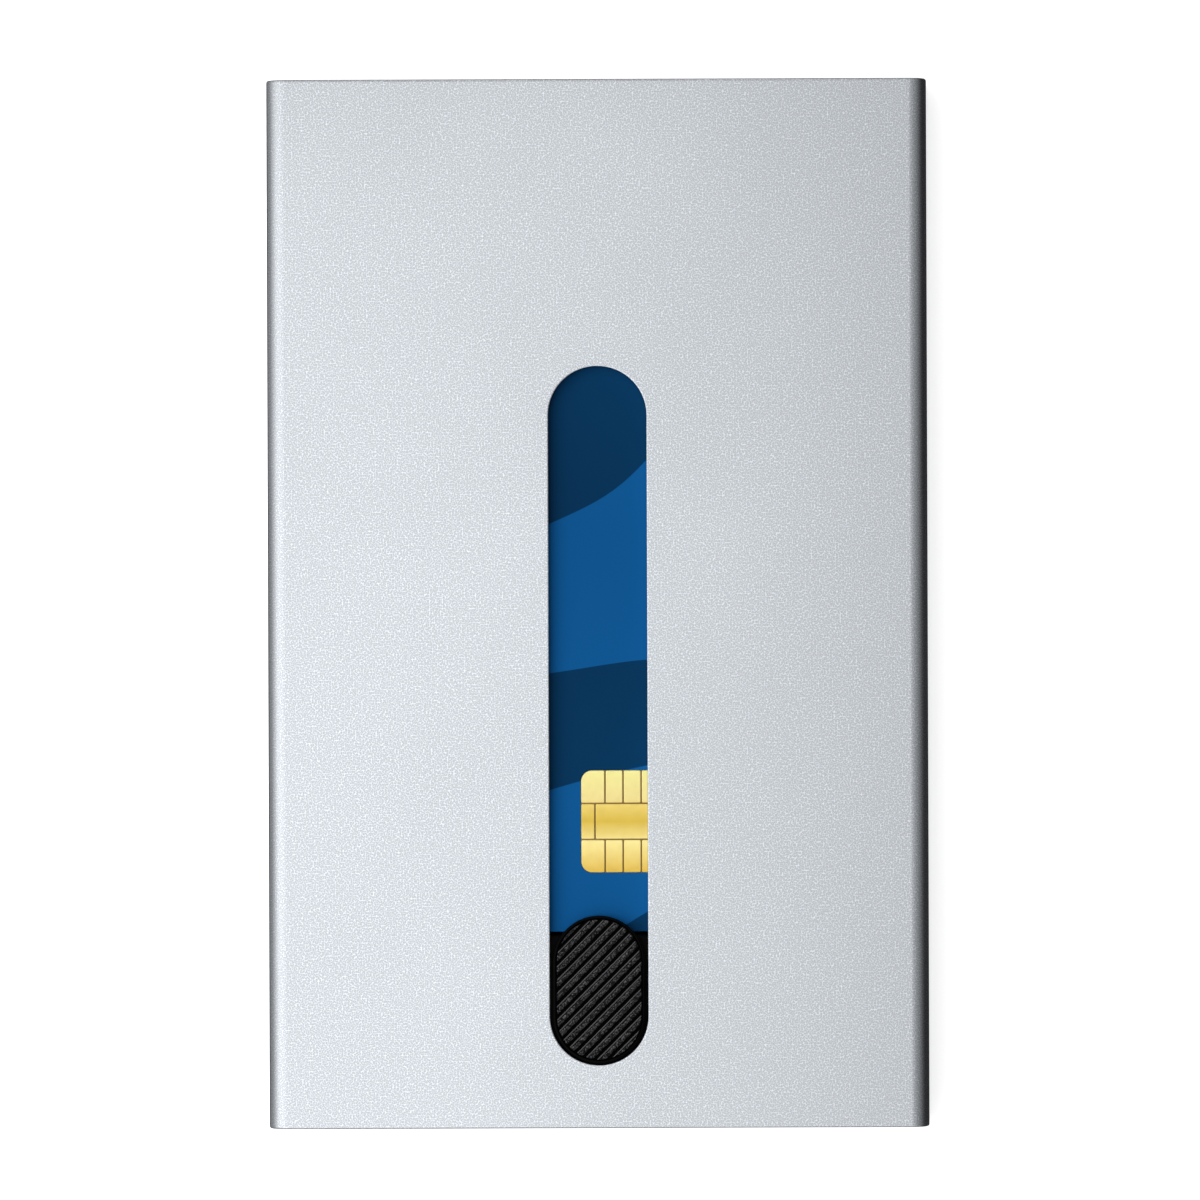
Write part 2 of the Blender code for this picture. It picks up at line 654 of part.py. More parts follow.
def make_grip_inlay():
    """Soft inlay in the button, with slanting grooves cut right across it."""
    width = BUTTON_WIDTH - 2 * (BUTTON_RIM + INLAY_GAP)
    length = BUTTON_LENGTH - 2 * (BUTTON_RIM + INLAY_GAP)
    inlay = prism("grip_inlay", obround(width, length), INLAY_BACK_Z, INLAY_FRONT_Z, (0, BUTTON_MIDDLE_Y))
    reach = math.hypot(width, length) / 2
    count = int(reach / GROOVE_PITCH)
    turn = Matrix.Rotation(GROOVE_ANGLE, 4, "Z")
    size = Matrix.Diagonal((2 * reach, GROOVE_WIDTH, 2 * GROOVE_DEPTH, 1))
    bars = bmesh.new()
    for number in range(-count, count + 1):
        place = Matrix.Translation((0, number * GROOVE_PITCH, 0))
        bmesh.ops.create_cube(bars, size=1, matrix=turn @ place @ size)
    mesh = bpy.data.meshes.new("grooves")
    bars.to_mesh(mesh)
    bars.free()
    grooves = add_piece("grooves", mesh)
    grooves.location = (0, BUTTON_MIDDLE_Y, INLAY_FRONT_Z)
    return cut(inlay, grooves)


# The card and what is let into it


def grown(width, length, radius, growth):
    """A rounded rectangle, grown all round."""
    return rounded_rectangle(width + 2 * growth, length + 2 * growth, radius + growth)


def chip_outline(growth):
    """Outline of the contact plate."""
    return grown(CHIP_WIDTH, CHIP_LENGTH, CHIP_CORNER_RADIUS, growth)


def module_outline(growth):
    """Outline of the moulded chip."""
    return grown(MODULE_WIDTH, MODULE_LENGTH, MODULE_CORNER_RADIUS, growth)


def foil(name, low_x, width, half_length, low_z, high_z):
    """A thin strip along the card's back, between two depths."""
    return box(
        name,
        (low_x, CARD_MIDDLE_Y - half_length, low_z),
        (low_x + width, CARD_MIDDLE_Y + half_length, high_z),
    )


def make_card():
    """Card with a stepped pocket for its chip, and shallow seats for the strips on its back."""
    outline = rounded_rectangle(CARD_WIDTH, CARD_LENGTH, CARD_CORNER_RADIUS)
    card = prism("card", outline, CARD_BACK_Z, CARD_FRONT_Z, (0, CARD_MIDDLE_Y))
    top = CARD_FRONT_Z + CUT_OVERRUN
    cut(card, prism("plate_pocket", chip_outline(CHIP_POCKET_GAP), CHIP_FLOOR_Z, top, CHIP_MIDDLE))
    floor = CHIP_FLOOR_Z - MODULE_THICKNESS - CHIP_POCKET_GAP
    cut(card, prism("module_pocket", module_outline(CHIP_POCKET_GAP), floor, top, CHIP_MIDDLE))
    seat_z = CARD_BACK_Z + FOIL_THICKNESS + FOIL_GAP
    seats = (
        ("stripe_seat", STRIPE_LOW_X, STRIPE_WIDTH, CARD_LENGTH / 2 + CUT_OVERRUN),
        ("signature_seat", SIGNATURE_LOW_X, SIGNATURE_WIDTH, SIGNATURE_LENGTH / 2 + FOIL_GAP),
    )
    for name, low_x, width, half_length in seats:
        low_z = CARD_BACK_Z - CUT_OVERRUN
        cut(card, foil(name, low_x - FOIL_GAP, width + 2 * FOIL_GAP, half_length, low_z, seat_z))
    return card


def make_chip_module():
    """The chip in its moulding, under the contact plate."""
    back_z = CHIP_FLOOR_Z - MODULE_THICKNESS
    return prism("chip_module", module_outline(0), back_z, CHIP_FLOOR_Z, CHIP_MIDDLE)


def contact_lines():
    """Corners of the lines between the contacts: two across, one beside, and a row at each end."""
    low_x = CHIP_MIDDLE[0] - CHIP_WIDTH / 2
    low_y = CHIP_MIDDLE[1] - CHIP_LENGTH / 2
    high_x = low_x + CHIP_WIDTH
    high_y = low_y + CHIP_LENGTH
    row = CHIP_LENGTH * CONTACT_ROW_SHARE
    half = CONTACT_LINE_WIDTH / 2
    lines = []
    for y in (low_y + row, high_y - row):
        lines.append(((low_x - CUT_OVERRUN, y - half), (high_x + CUT_OVERRUN, y + half)))
    first = CHIP_WIDTH * FIRST_LINE_SHARE
    pitch = (CHIP_WIDTH - 2 * first) / (CONTACTS_PER_ROW - 2)
    for number in range(CONTACTS_PER_ROW - 1):
        x = low_x + first + number * pitch
        lines.append(((x - half, low_y - CUT_OVERRUN), (x + half, low_y + row)))
        lines.append(((x - half, high_y - row), (x + half, high_y + CUT_OVERRUN)))
    x = low_x + CHIP_WIDTH * GROUND_LINE_SHARE
    lines.append(((x - half, low_y + row), (x + half, high_y - row)))
    return lines


def make_chip_contacts():
    """Contact plate: a row of contacts at each end and a middle field, parted by fine lines."""
    chip = prism("chip_contacts", chip_outline(0), CARD_FRONT_Z - CHIP_THICKNESS, CARD_FRONT_Z, CHIP_MIDDLE)
    floor = CARD_FRONT_Z - CONTACT_LINE_DEPTH
    for number, (low, high) in enumerate(contact_lines()):
        cut(chip, box(f"contact_line_{number + 1}", (*low, floor), (*high, CARD_FRONT_Z + CUT_OVERRUN)))
    return chip


def make_magnetic_stripe():
    """Magnetic stripe along the card's back."""
    high_z = CARD_BACK_Z + FOIL_THICKNESS
    return foil("magnetic_stripe", STRIPE_LOW_X, STRIPE_WIDTH, CARD_LENGTH / 2, CARD_BACK_Z, high_z)


def make_signature_panel():
    """Blank panel for a signature, beside the stripe."""
    half_length = SIGNATURE_LENGTH / 2
    high_z = CARD_BACK_Z + FOIL_THICKNESS
    return foil("signature_panel", SIGNATURE_LOW_X, SIGNATURE_WIDTH, half_length, CARD_BACK_Z, high_z)


def build():
    """Make every piece, and hang it on the empty of the group that it moves with."""
    aluminium = new_material("anodised_aluminium", (0.68, 0.71, 0.76), 0.38, 1.0)
    black_plastic = new_material("black_plastic", (0.012, 0.012, 0.013), 0.45)
    black_rubber = new_material("black_rubber", (0.02, 0.02, 0.022), 0.7)
    dark_felt = new_material("dark_felt", (0.03, 0.03, 0.035), 0.95)
    spring_steel = new_material("spring_steel", (0.55, 0.55, 0.56), 0.3, 1.0)
    black_steel = new_material("black_steel", (0.05, 0.05, 0.055), 0.35, 1.0)
    blue_card = new_material("blue_card", (0.008, 0.09, 0.28), 0.3)
    gold = new_material("gold_contacts", (0.83, 0.62, 0.2), 0.25, 1.0)
    chip_resin = new_material("chip_moulding", (0.015, 0.015, 0.016), 0.6)
    stripe_black = new_material("stripe_black", (0.01, 0.008, 0.008), 0.25)
    panel_white = new_material("panel_white", (0.8, 0.8, 0.78), 0.6)

    case = new_empty("case", (0, 0, 0))
    carriage_slide = new_empty("carriage_slide", (0, CARRIAGE_HIGH_Y, MIDDLE_Z), case)
    card_slide = new_empty("card_slide", (0, CARD_LOW_Y, CARD_FRONT_Z), carriage_slide)

    finish(make_sleeve(), aluminium, case)
    finish(make_base_plug(), black_plastic, case)
    finish(make_back_liner(), dark_felt, case)
    for side, name in SIDES:
        finish(make_side_rail(side, name), black_plastic, case)
        finish(make_grip_strip(side, name), black_rubber, case)
        finish(make_plug_screw(side, name), black_steel, case)
        finish(make_brake_spring(side, name), spring_steel, carriage_slide)
    finish(make_carriage(), black_plastic, carriage_slide)
    finish(make_thumb_button(), black_plastic, carriage_slide)
    finish(make_grip_inlay(), black_rubber, carriage_slide)
    finish(make_card(), blue_card, card_slide)
    finish(make_chip_contacts(), gold, card_slide)
    finish(make_chip_module(), chip_resin, card_slide)
    finish(make_magnetic_stripe(), stripe_black, card_slide)
    finish(make_signature_panel(), panel_white, card_slide)


clear_scene()
PIECES = new_collection("card_case")
HELPERS = new_collection("cutters")
build()
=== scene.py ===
# %% [markdown]
# # A slide-out card case in Blender
#
# The case is a flat aluminium tube, open at its mouth. A ribbed black button in a round-ended slot pushes
# the cards out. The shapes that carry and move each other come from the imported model, which is loaded here
# as a fixed frame. This lesson dresses that frame: each piece is worked out with numpy as a surface, and each
# finish is a small network of nodes.

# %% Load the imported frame
import math

import bmesh
import bpy
import numpy as np
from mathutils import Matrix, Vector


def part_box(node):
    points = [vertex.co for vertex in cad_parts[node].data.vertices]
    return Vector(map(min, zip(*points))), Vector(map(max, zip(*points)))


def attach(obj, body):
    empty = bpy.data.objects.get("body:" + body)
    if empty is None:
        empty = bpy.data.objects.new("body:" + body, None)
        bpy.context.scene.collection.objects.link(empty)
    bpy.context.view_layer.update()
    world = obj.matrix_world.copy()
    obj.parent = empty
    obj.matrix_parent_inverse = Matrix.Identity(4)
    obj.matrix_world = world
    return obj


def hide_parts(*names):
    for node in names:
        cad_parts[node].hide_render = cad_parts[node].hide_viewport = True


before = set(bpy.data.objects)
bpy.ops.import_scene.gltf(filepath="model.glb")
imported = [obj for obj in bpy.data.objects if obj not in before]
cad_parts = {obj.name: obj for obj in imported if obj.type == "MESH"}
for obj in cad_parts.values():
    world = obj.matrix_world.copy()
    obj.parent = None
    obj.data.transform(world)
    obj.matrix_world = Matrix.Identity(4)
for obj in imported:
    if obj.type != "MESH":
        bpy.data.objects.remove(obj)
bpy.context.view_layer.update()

# %% [markdown]
# ## Sizes
#
# What the frame's boxes tell is read from them, so a dressed piece sits exactly where the solid that it
# stands for sits. The sizes inside a box, such as the slot's, are given beside the piece. Lengths are in
# metres, and MM turns millimetres into metres.

# %% Read the sizes that pieces share
MM = 0.001
case_low, case_high = np.array(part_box("sleeve"))
card_low, card_high = np.array(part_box("card"))
button_low, button_high = np.array(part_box("thumb_button"))
inlay_low, inlay_high = np.array(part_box("grip_inlay"))
chip_low, chip_high = np.array(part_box("chip_contacts"))
print("case, mm:", np.round((case_high - case_low) / MM, 2))
print("card, mm:", np.round((card_high - card_low) / MM, 2))

# %% [markdown]
# ## Surfaces from outlines and profiles
#
# Most pieces here are a profile carried round a closed outline, as a potter's ring is. An outline is kept as
# three arrays: a foot point, an outward direction and a radius for each station. A station grown by g is
# foot + (radius + g) * direction, so one outline gives every offset of itself without any crossing. A
# rounded rectangle and a round-ended slot are both outlines of this kind.


# %% Outlines
def points_of(*coordinates):
    """Points from their coordinates, each an array or one number."""
    return np.stack(np.broadcast_arrays(*coordinates), axis=-1)


def corner_outline(middle, half_size, radii, steps, side_steps=1):
    """Rounded rectangle, anticlockwise from its right side, with a radius for each corner.

    Each corner is a quarter turn of directions round a foot point that lies one radius inside the corner.
    A side has side_steps steps: its feet and radii lie evenly between those of its two corners.
    """
    signs = np.array([(1, 1), (-1, 1), (-1, -1), (1, -1)], float)
    radii = np.broadcast_to(np.asarray(radii, float), 4)
    feet = np.asarray(middle) + signs * (np.asarray(half_size) - radii[:, None])
    turns = np.linspace(0, np.pi / 2, steps + 1) + np.arange(4)[:, None] * np.pi / 2
    share = np.concatenate([np.zeros(steps + 1), np.arange(1, side_steps) / side_steps])[:, None]
    turns = np.concatenate([turns, np.repeat(turns[:, -1:], side_steps - 1, axis=1)], axis=1)
    foot = feet[:, None] + share * (np.roll(feet, -1, axis=0) - feet)[:, None]
    radius = radii[:, None] + share[:, 0] * (np.roll(radii, -1) - radii)[:, None]
    return foot.reshape(-1, 2), points_of(np.cos(turns), np.sin(turns)).reshape(-1, 2), radius.ravel()


def grown(outline, growth):
    """Points of an outline grown by each value of growth: foot + (radius + growth) * direction."""
    foot, direction, radius = outline
    reach = radius + np.asarray(growth, float)[:, None]
    return foot + reach[..., None] * direction


def rings_of(outline, profile):
    """Rings of an upright piece: each row of the profile is a growth of the outline and a height."""
    growth, height = np.asarray(profile, float).T
    flat = grown(outline, growth)
    return points_of(flat[..., 0], flat[..., 1], height[:, None])


def pole(ring, point):
    """A ring shrunk to one point, which closes a shell once its doubles are merged."""
    return np.broadcast_to(np.asarray(point, float), (1,) + ring.shape[-2:])


def crowded(count):
    """Places from -1 to 1 that crowd together at both ends: sin(t), with t from -90 to 90 degrees."""
    return np.sin(np.linspace(-np.pi / 2, np.pi / 2, count))


print("stations, with 8 steps:", len(corner_outline((0, 0), (1, 1), 0.2, 8)[0]))


# %% Profiles
def bend(corner, to_start, to_end, steps=6):
    """Quarter of an ellipse that rounds a corner: corner + to_start (1 - sin t) + to_end (1 - cos t)."""
    corner, to_start, to_end = np.array([corner, to_start, to_end], float)
    t = np.linspace(0, np.pi / 2, steps + 1)[:, None]
    return corner + to_start * (1 - np.sin(t)) + to_end * (1 - np.cos(t))


def profile_of(*parts):
    """One profile from single points and bends, in order."""
    return np.concatenate([np.atleast_2d(np.asarray(part, float)) for part in parts])


print("a bend from (0, 1) to (1, 0):", np.round(bend((1, 1), (-1, 0), (0, -1), 2), 2).tolist())


# %% Shells from rings
def quads_between(rows, columns, around=True, closed=False):
    """Corner numbers of the quads of a grid: (row, column), then its neighbours round the cell."""
    index = np.arange(rows * columns).reshape(rows, columns)
    index = np.concatenate([index, index[:, :1]], axis=1) if around else index
    index = np.concatenate([index, index[:1]], axis=0) if closed else index
    return np.stack([index[:-1, :-1], index[:-1, 1:], index[1:, 1:], index[1:, :-1]], axis=-1)


def shell(*ring_sets, around=True, closed=False):
    """Points and quads of a surface lofted through all the rings, in order."""
    rings = np.concatenate(ring_sets)
    quads = quads_between(*rings.shape[:2], around, closed)
    return rings.reshape(-1, 3), quads.reshape(-1, 4)


def together(*shells):
    """Several shells as one: each shell's corner numbers are moved on by the points before it."""
    starts = np.cumsum([0] + [len(points) for points, _ in shells[:-1]])
    points = np.concatenate([points for points, _ in shells])
    quads = np.concatenate([quads + start for (_, quads), start in zip(shells, starts)])
    return points, quads


# %% Make a piece from a mesh
MERGE_DISTANCE = 0.0004 * MM


def new_object(name, data):
    """Object with this mesh, lamp or camera, linked to the scene."""
    thing = bpy.data.objects.new(name, data)
    bpy.context.scene.collection.objects.link(thing)
    return thing


def add_piece(mesh, finish, body, stands_for, slot, join_angle=None):
    """Piece from a mesh with its doubles merged, riding on a body and standing for nodes of the frame.

    Its faces are turned outwards. With join_angle, facets that meet at less than it are joined instead.
    """
    work = bmesh.new()
    work.from_mesh(mesh)
    bmesh.ops.remove_doubles(work, verts=work.verts, dist=MERGE_DISTANCE)
    if join_angle:
        bmesh.ops.dissolve_limit(work, angle_limit=join_angle, verts=work.verts, edges=work.edges)
    else:
        bmesh.ops.recalc_face_normals(work, faces=work.faces)
    work.to_mesh(mesh)
    work.free()
    mesh.shade_smooth()
    mesh.materials.clear()
    mesh.materials.append(finish)
    piece = new_object(mesh.name, mesh)
    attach(piece, body)
    if stands_for:
        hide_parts(*stands_for)
    size = np.ptp(np.array([v.co for v in mesh.vertices]), axis=0) / MM
    print(f"{mesh.name}: {len(mesh.vertices)} points, {len(mesh.polygons)} faces, mm {np.round(size, 2)}")
    return piece


def make_piece(name, surface, *settings):
    """Piece from the points and quads of a shell."""
    points, quads = surface
    mesh = bpy.data.meshes.new(name)
    mesh.from_pydata(points.tolist(), [], quads.tolist())
    return add_piece(mesh, *settings)


# %% [markdown]
# ## Finishes
#
# A finish starts from the Principled shader with its plain values, which are right wherever the surface is
# the same all over. What changes over the surface, such as grain, is then added with nodes that read Object
# coordinates. These are metres here, so a noise with scale 8000 has grains of about 0.12 mm.


# %% Helpers for finishes
def new_finish(name, colour, roughness, metallic=0.0, specular=0.5, **sockets):
    """Principled material with plain values on the shader's own sockets."""
    material = bpy.data.materials.new(name)
    material.use_nodes = True
    shader = material.node_tree.nodes["Principled BSDF"]
    values = {"Base Color": (*colour, 1.0), "Roughness": roughness, "Metallic": metallic, **sockets}
    for socket, value in {**values, "Specular IOR Level": specular}.items():
        shader.inputs[socket].default_value = value
    material.diffuse_color = (*colour, 1.0)
    return material


def add_node(material, kind, inputs=None, **settings):
    """Add a shader node, and give each input another node's output or a plain value."""
    tree = material.node_tree
    node = tree.nodes.new("ShaderNode" + kind)
    for name, value in settings.items():
        setattr(node, name, value)
    for socket, source in (inputs or {}).items():
        if isinstance(source, bpy.types.NodeSocket):
            tree.links.new(source, node.inputs[socket])
        else:
            node.inputs[socket].default_value = source
    return node


def feed(material, socket, source):
    """Link a node's output to the shader's input of that name."""
    shader = material.node_tree.nodes["Principled BSDF"]
    material.node_tree.links.new(source, shader.inputs[socket])


def object_place(material, scale=(1, 1, 1), location=(0, 0, 0), turn=(0, 0, 0)):
    """Object coordinates in metres, through a Mapping node that can centre, turn or stretch them."""
    place = add_node(material, "TexCoord").outputs["Object"]
    inputs = {"Vector": place, "Scale": scale, "Location": location, "Rotation": turn}
    return add_node(material, "Mapping", inputs).outputs["Vector"]


def coordinate(material, place, axis):
    """One coordinate of a place: its X, Y or Z."""
    return add_node(material, "SeparateXYZ", {"Vector": place}).outputs[axis]


def math_node(material, operation, first, second=0.0):
    """One sum on two inputs, each a number or another node's output."""
    return add_node(material, "Math", {0: first, 1: second}, operation=operation).outputs[0]


def noise(material, place, scale, detail=2.0, rough=0.5):
    """Value of a noise texture, about 0.3 to 0.7."""
    inputs = {"Vector": place, "Scale": scale, "Detail": detail, "Roughness": rough}
    return add_node(material, "TexNoise", inputs).outputs["Fac"]


def cells(material, place, size):
    """A random value from 0 to 1 for each cell of a Voronoi texture, in cells of about this size."""
    pattern = add_node(material, "TexVoronoi", {"Vector": place, "Scale": 1 / size})
    return add_node(material, "SeparateColor", {"Color": pattern.outputs["Color"]}).outputs["Red"]


def spread(material, source, low, high, from_low=0.3, from_high=0.7, smooth=False):
    """Map a value's range to another range."""
    inputs = {"Value": source, "From Min": from_low, "From Max": from_high, "To Min": low, "To Max": high}
    kind = "SMOOTHSTEP" if smooth else "LINEAR"
    return add_node(material, "MapRange", inputs, interpolation_type=kind).outputs["Result"]


# The Mix node's sockets for colours, by number
FIRST_COLOUR, SECOND_COLOUR, MIXED_COLOUR = 6, 7, 2


def blend_colours(material, share, first, second):
    """Mix two colours, each a tuple or another node's output, by a share from 0 to 1."""
    first, second = ((*colour, 1.0) if isinstance(colour, tuple) else colour for colour in (first, second))
    inputs = {"Factor": share, FIRST_COLOUR: first, SECOND_COLOUR: second}
    return add_node(material, "Mix", inputs, data_type="RGBA").outputs[MIXED_COLOUR]


def colour_by(material, share, first, second):
    """Mix two colours by a share from 0 to 1 into the finish's base colour."""
    feed(material, "Base Color", blend_colours(material, share, first, second))


def raise_grain(material, *layers):
    """Chain bumps: each layer is a height between 0 and 1 and the depth in metres that it stands for."""
    below = {}
    for height, depth in layers:
        inputs = {"Height": height, "Strength": 1.0, "Distance": depth, **below}
        below = {"Normal": add_node(material, "Bump", inputs).outputs["Normal"]}
    feed(material, "Normal", below["Normal"])


def vary_roughness(material, place, scale, low, high, detail=2.0):
    """Let the roughness wander between a low and a high value, as a noise does."""
    feed(material, "Roughness", spread(material, noise(material, place, scale, detail), low, high))


def grained_finish(name, colour, roughness, wander, grain, stretch=(1, 1, 1), **values):
    """Finish whose roughness wanders and whose surface has one fine bump.

    wander is a noise's scale, then the roughness at its low and at its high values. grain is the depth that
    a second noise stands for, then that noise's scale, detail and roughness.
    """
    material = new_finish(name, colour, roughness, **values)
    place = object_place(material, scale=stretch)
    vary_roughness(material, place, *wander)
    depth, *shape = grain
    raise_grain(material, (noise(material, place, *shape), depth))
    return material


# %% [markdown]
# ### Bead-blasted, anodised aluminium
#
# The extrusion is blasted with fine beads and anodised in its natural silver. Blasting leaves tiny dimples,
# so the metal has a satin sheen with a fine sparkle and no mirror image. The dimples lie side by side, so
# from a step away they even out: there is grain up close, but there are no blotches. A random shade for each
# dimple would not even out. Here a Voronoi texture gives the distance to the nearest dimple's middle, so all
# dimples have the same tones: painted shade in the middle of each hollow and a painted glint at its rim. The
# texture is a flat one, so it is wrapped round the tube: across the front it reads X, and down a side it
# reads
# Z. Very faint lines along Y are what is left of the die lines.

# %% Finish: aluminium
DIMPLE_SIZE = 0.16 * MM
DIMPLE_SCATTER = 0.8
DIMPLE_SHEAR = 0.37


def wrapped_place(material, middle_z):
    """Flat coordinates round the tube: X less its sign times the height from the middle, and a sheared Y.

    The shear adds a share of Z to Y, or else the front and the back would have the same dimples.
    """
    x, y, z = add_node(material, "SeparateXYZ", {"Vector": object_place(material)}).outputs
    height = math_node(material, "ABSOLUTE", math_node(material, "SUBTRACT", z, middle_z))
    fold = math_node(material, "MULTIPLY", math_node(material, "SIGN", x), height)
    shear = math_node(material, "MULTIPLY", z, DIMPLE_SHEAR)
    flat = {"X": math_node(material, "SUBTRACT", x, fold), "Y": math_node(material, "ADD", y, shear)}
    return add_node(material, "CombineXYZ", flat).outputs["Vector"]


aluminium = new_finish("bead_blasted_aluminium", (0.58, 0.61, 0.645), 0.36, 1.0)
place = wrapped_place(aluminium, (case_low[2] + case_high[2]) / 2)
pattern = {"Vector": place, "Scale": 1 / DIMPLE_SIZE, "Randomness": DIMPLE_SCATTER}
dimples = add_node(aluminium, "TexVoronoi", pattern, voronoi_dimensions="2D").outputs["Distance"]
# Painted shade in each dimple's hollow and a painted glint at its rim, on top of the dimples' bump
colour_by(aluminium, dimples, (0.366, 0.385, 0.407), (0.876, 0.921, 0.974))
vary_roughness(aluminium, object_place(aluminium), 45.0, 0.34, 0.38)
die_lines = noise(aluminium, object_place(aluminium, scale=(2200, 12, 2200)), 1.0)
raise_grain(aluminium, (die_lines, 0.0004 * MM), (dimples, 0.002 * MM))
print("aluminium nodes:", len(aluminium.node_tree.nodes))

# %% [markdown]
# ### Black plastics, rubber and steel
#
# The slider's rim and the carriage are black plastic with a fine matt skin. The plug and the rails are the
# same plastic with a coarser, shinier skin. The inlay is a softer black whose colour is painted from its
# height. Its grooves stay black as painted shade, its sloping crests have a powdery grain with a painted
# sheen that fades towards their low side, and the narrow lip beside each crest gets a painted highlight, so
# the ribs look grey.

# %% Finishes: plastics and rubber
shade = (0.002, 0.002, 0.0021)
wander, grain = (300.0, 0.30, 0.40), (0.002 * MM, 6000.0)
moulded_black = grained_finish("moulded_black_plastic", shade, 0.34, wander, grain, specular=0.02)

housing_black = new_finish("spark_eroded_black_plastic", (0.014, 0.014, 0.015), 0.45, specular=0.4)
place = object_place(housing_black)
erosion = cells(housing_black, place, 0.16 * MM)
colour_by(housing_black, erosion, (0.009, 0.009, 0.010), (0.019, 0.019, 0.020))
feed(housing_black, "Roughness", spread(housing_black, erosion, 0.38, 0.52, 0.0, 1.0))
raise_grain(housing_black, (noise(housing_black, place, 5000.0), 0.006 * MM))

# Depths below the inlay's top at which the crest's painted sheen and the lip's painted highlight start and
# are full
CREST_SHEEN_DEPTHS = np.array([0.085, 0.015]) * MM
LIP_HIGHLIGHT_DEPTHS = np.array([0.012, 0.004]) * MM
soft_black = new_finish("ribbed_soft_black", (0.02, 0.02, 0.021), 0.45, specular=0.02)
place = object_place(soft_black)
powder = cells(soft_black, place, 0.09 * MM)
grain_share = spread(soft_black, powder, 0.0, 1.0, 0.5, 1.0)
# Painted sheen: the crests' powdery grain is far lighter than the black rubber
crest_sheen_colour = blend_colours(soft_black, grain_share, (0.008, 0.008, 0.0085), (0.16, 0.16, 0.165))
rib_height = coordinate(soft_black, place, "Z")
crest_sheen_share = spread(soft_black, rib_height, 0.0, 1.0, *(inlay_high[2] - CREST_SHEEN_DEPTHS))
lip_highlight_share = spread(soft_black, rib_height, 0.0, 1.0, *(inlay_high[2] - LIP_HIGHLIGHT_DEPTHS))
# Painted shade in the grooves, painted sheen on the crests and a painted highlight on each lip, all set by
# height
rib_sheen_and_shade_colour = blend_colours(soft_black, crest_sheen_share, (0.0004, 0.0004, 0.0004), crest_sheen_colour)
colour_by(soft_black, lip_highlight_share, rib_sheen_and_shade_colour, (0.095, 0.095, 0.098))
feed(soft_black, "Roughness", spread(soft_black, powder, 0.36, 0.6, 0.0, 1.0))
raise_grain(soft_black, (noise(soft_black, place, 7000.0, 3.0, 0.7), 0.006 * MM))

wander, grain = (900.0, 0.6, 0.8), (0.004 * MM, 5000.0, 3.0, 0.7)
brake_rubber = grained_finish("brake_strip_rubber", (0.02, 0.02, 0.021), 0.7, wander, grain)
print("nodes in the inlay's finish:", len(soft_black.node_tree.nodes))

# %% Finishes: steels and felt
shade = (0.16, 0.16, 0.165)
wander, grain = (1500.0, 0.28, 0.42), (0.001 * MM, 7000.0)
blackened_steel = grained_finish("blackened_screw_steel", shade, 0.34, wander, grain, metallic=1.0)

shade, rolled = (0.52, 0.51, 0.49), (600, 600, 9000)
wander, grain = (1.0, 0.22, 0.36), (0.0006 * MM, 1.0, 3.0)
spring_steel = grained_finish("rolled_spring_steel", shade, 0.28, wander, grain, rolled, metallic=1.0)

sheen = {"Sheen Weight": 0.35, "Sheen Roughness": 0.5}
felt = new_finish("grey_black_felt", (0.02, 0.02, 0.022), 0.95, **sheen)
fibres = noise(felt, object_place(felt, scale=(1, 2.5, 1), turn=(0, 0, 0.6)), 2600.0, 4.0, 0.7)
tufts = noise(felt, object_place(felt), 700.0, 3.0)
colour_by(felt, spread(felt, fibres, 0.0, 1.0), (0.012, 0.012, 0.013), (0.045, 0.045, 0.05))
raise_grain(felt, (tufts, 0.03 * MM), (fibres, 0.03 * MM))
print("steel and felt:", blackened_steel.name, spring_steel.name, felt.name)

# %% [markdown]
# ### The card's print
#
# The card that shows through the slot is a laminated card with a two-tone blue print on a white core. The
# print here is a generic one of broad slanting waves: a Wave texture is cut at a threshold into dark and
# light fields with crisp edges, and a slow noise shifts the shade of each field a little. The core is told
# from the print by its depth below the faces, so it shows on the card's edge only.

# %% Finish: printed card
WAVE_TURN = math.radians(58)
CORE_HALF = 0.26 * MM
CORE_BLUR = 0.01 * MM
card_print = new_finish("blue_card_print", (0.004, 0.095, 0.29), 0.5, specular=0.02)
place = object_place(card_print)
slanted = object_place(card_print, location=(3.1 * MM, 0.0, 0.0), turn=(0.0, 0.0, WAVE_TURN))
pattern = {"Scale": 11.0, "Distortion": 2.6, "Detail": 1.0, "Detail Scale": 3.2, "Detail Roughness": 0.4}
waves = add_node(card_print, "TexWave", {"Vector": slanted, **pattern}, bands_direction="X")
dark_share = spread(card_print, waves.outputs["Fac"], 0.0, 1.0, 0.615, 0.625)
drift = spread(card_print, noise(card_print, place, 30.0, 1.0), 0.0, 1.0)
light_blue = blend_colours(card_print, drift, (0.004, 0.089, 0.276), (0.006, 0.110, 0.333))
dark_blue = blend_colours(card_print, drift, (0.002, 0.030, 0.085), (0.0025, 0.042, 0.120))
print_colour = blend_colours(card_print, dark_share, light_blue, dark_blue)
card_middle = (card_low + card_high) / 2
above_middle = math_node(card_print, "SUBTRACT", coordinate(card_print, place, "Z"), card_middle[2])
from_middle = math_node(card_print, "ABSOLUTE", above_middle)
core_share = spread(card_print, from_middle, 1.0, 0.0, CORE_HALF - CORE_BLUR, CORE_HALF + CORE_BLUR)
colour_by(card_print, core_share, print_colour, (0.72, 0.73, 0.72))
raise_grain(card_print, (noise(card_print, place, 1500.0), 0.0006 * MM))
print("card print nodes:", len(card_print.node_tree.nodes))
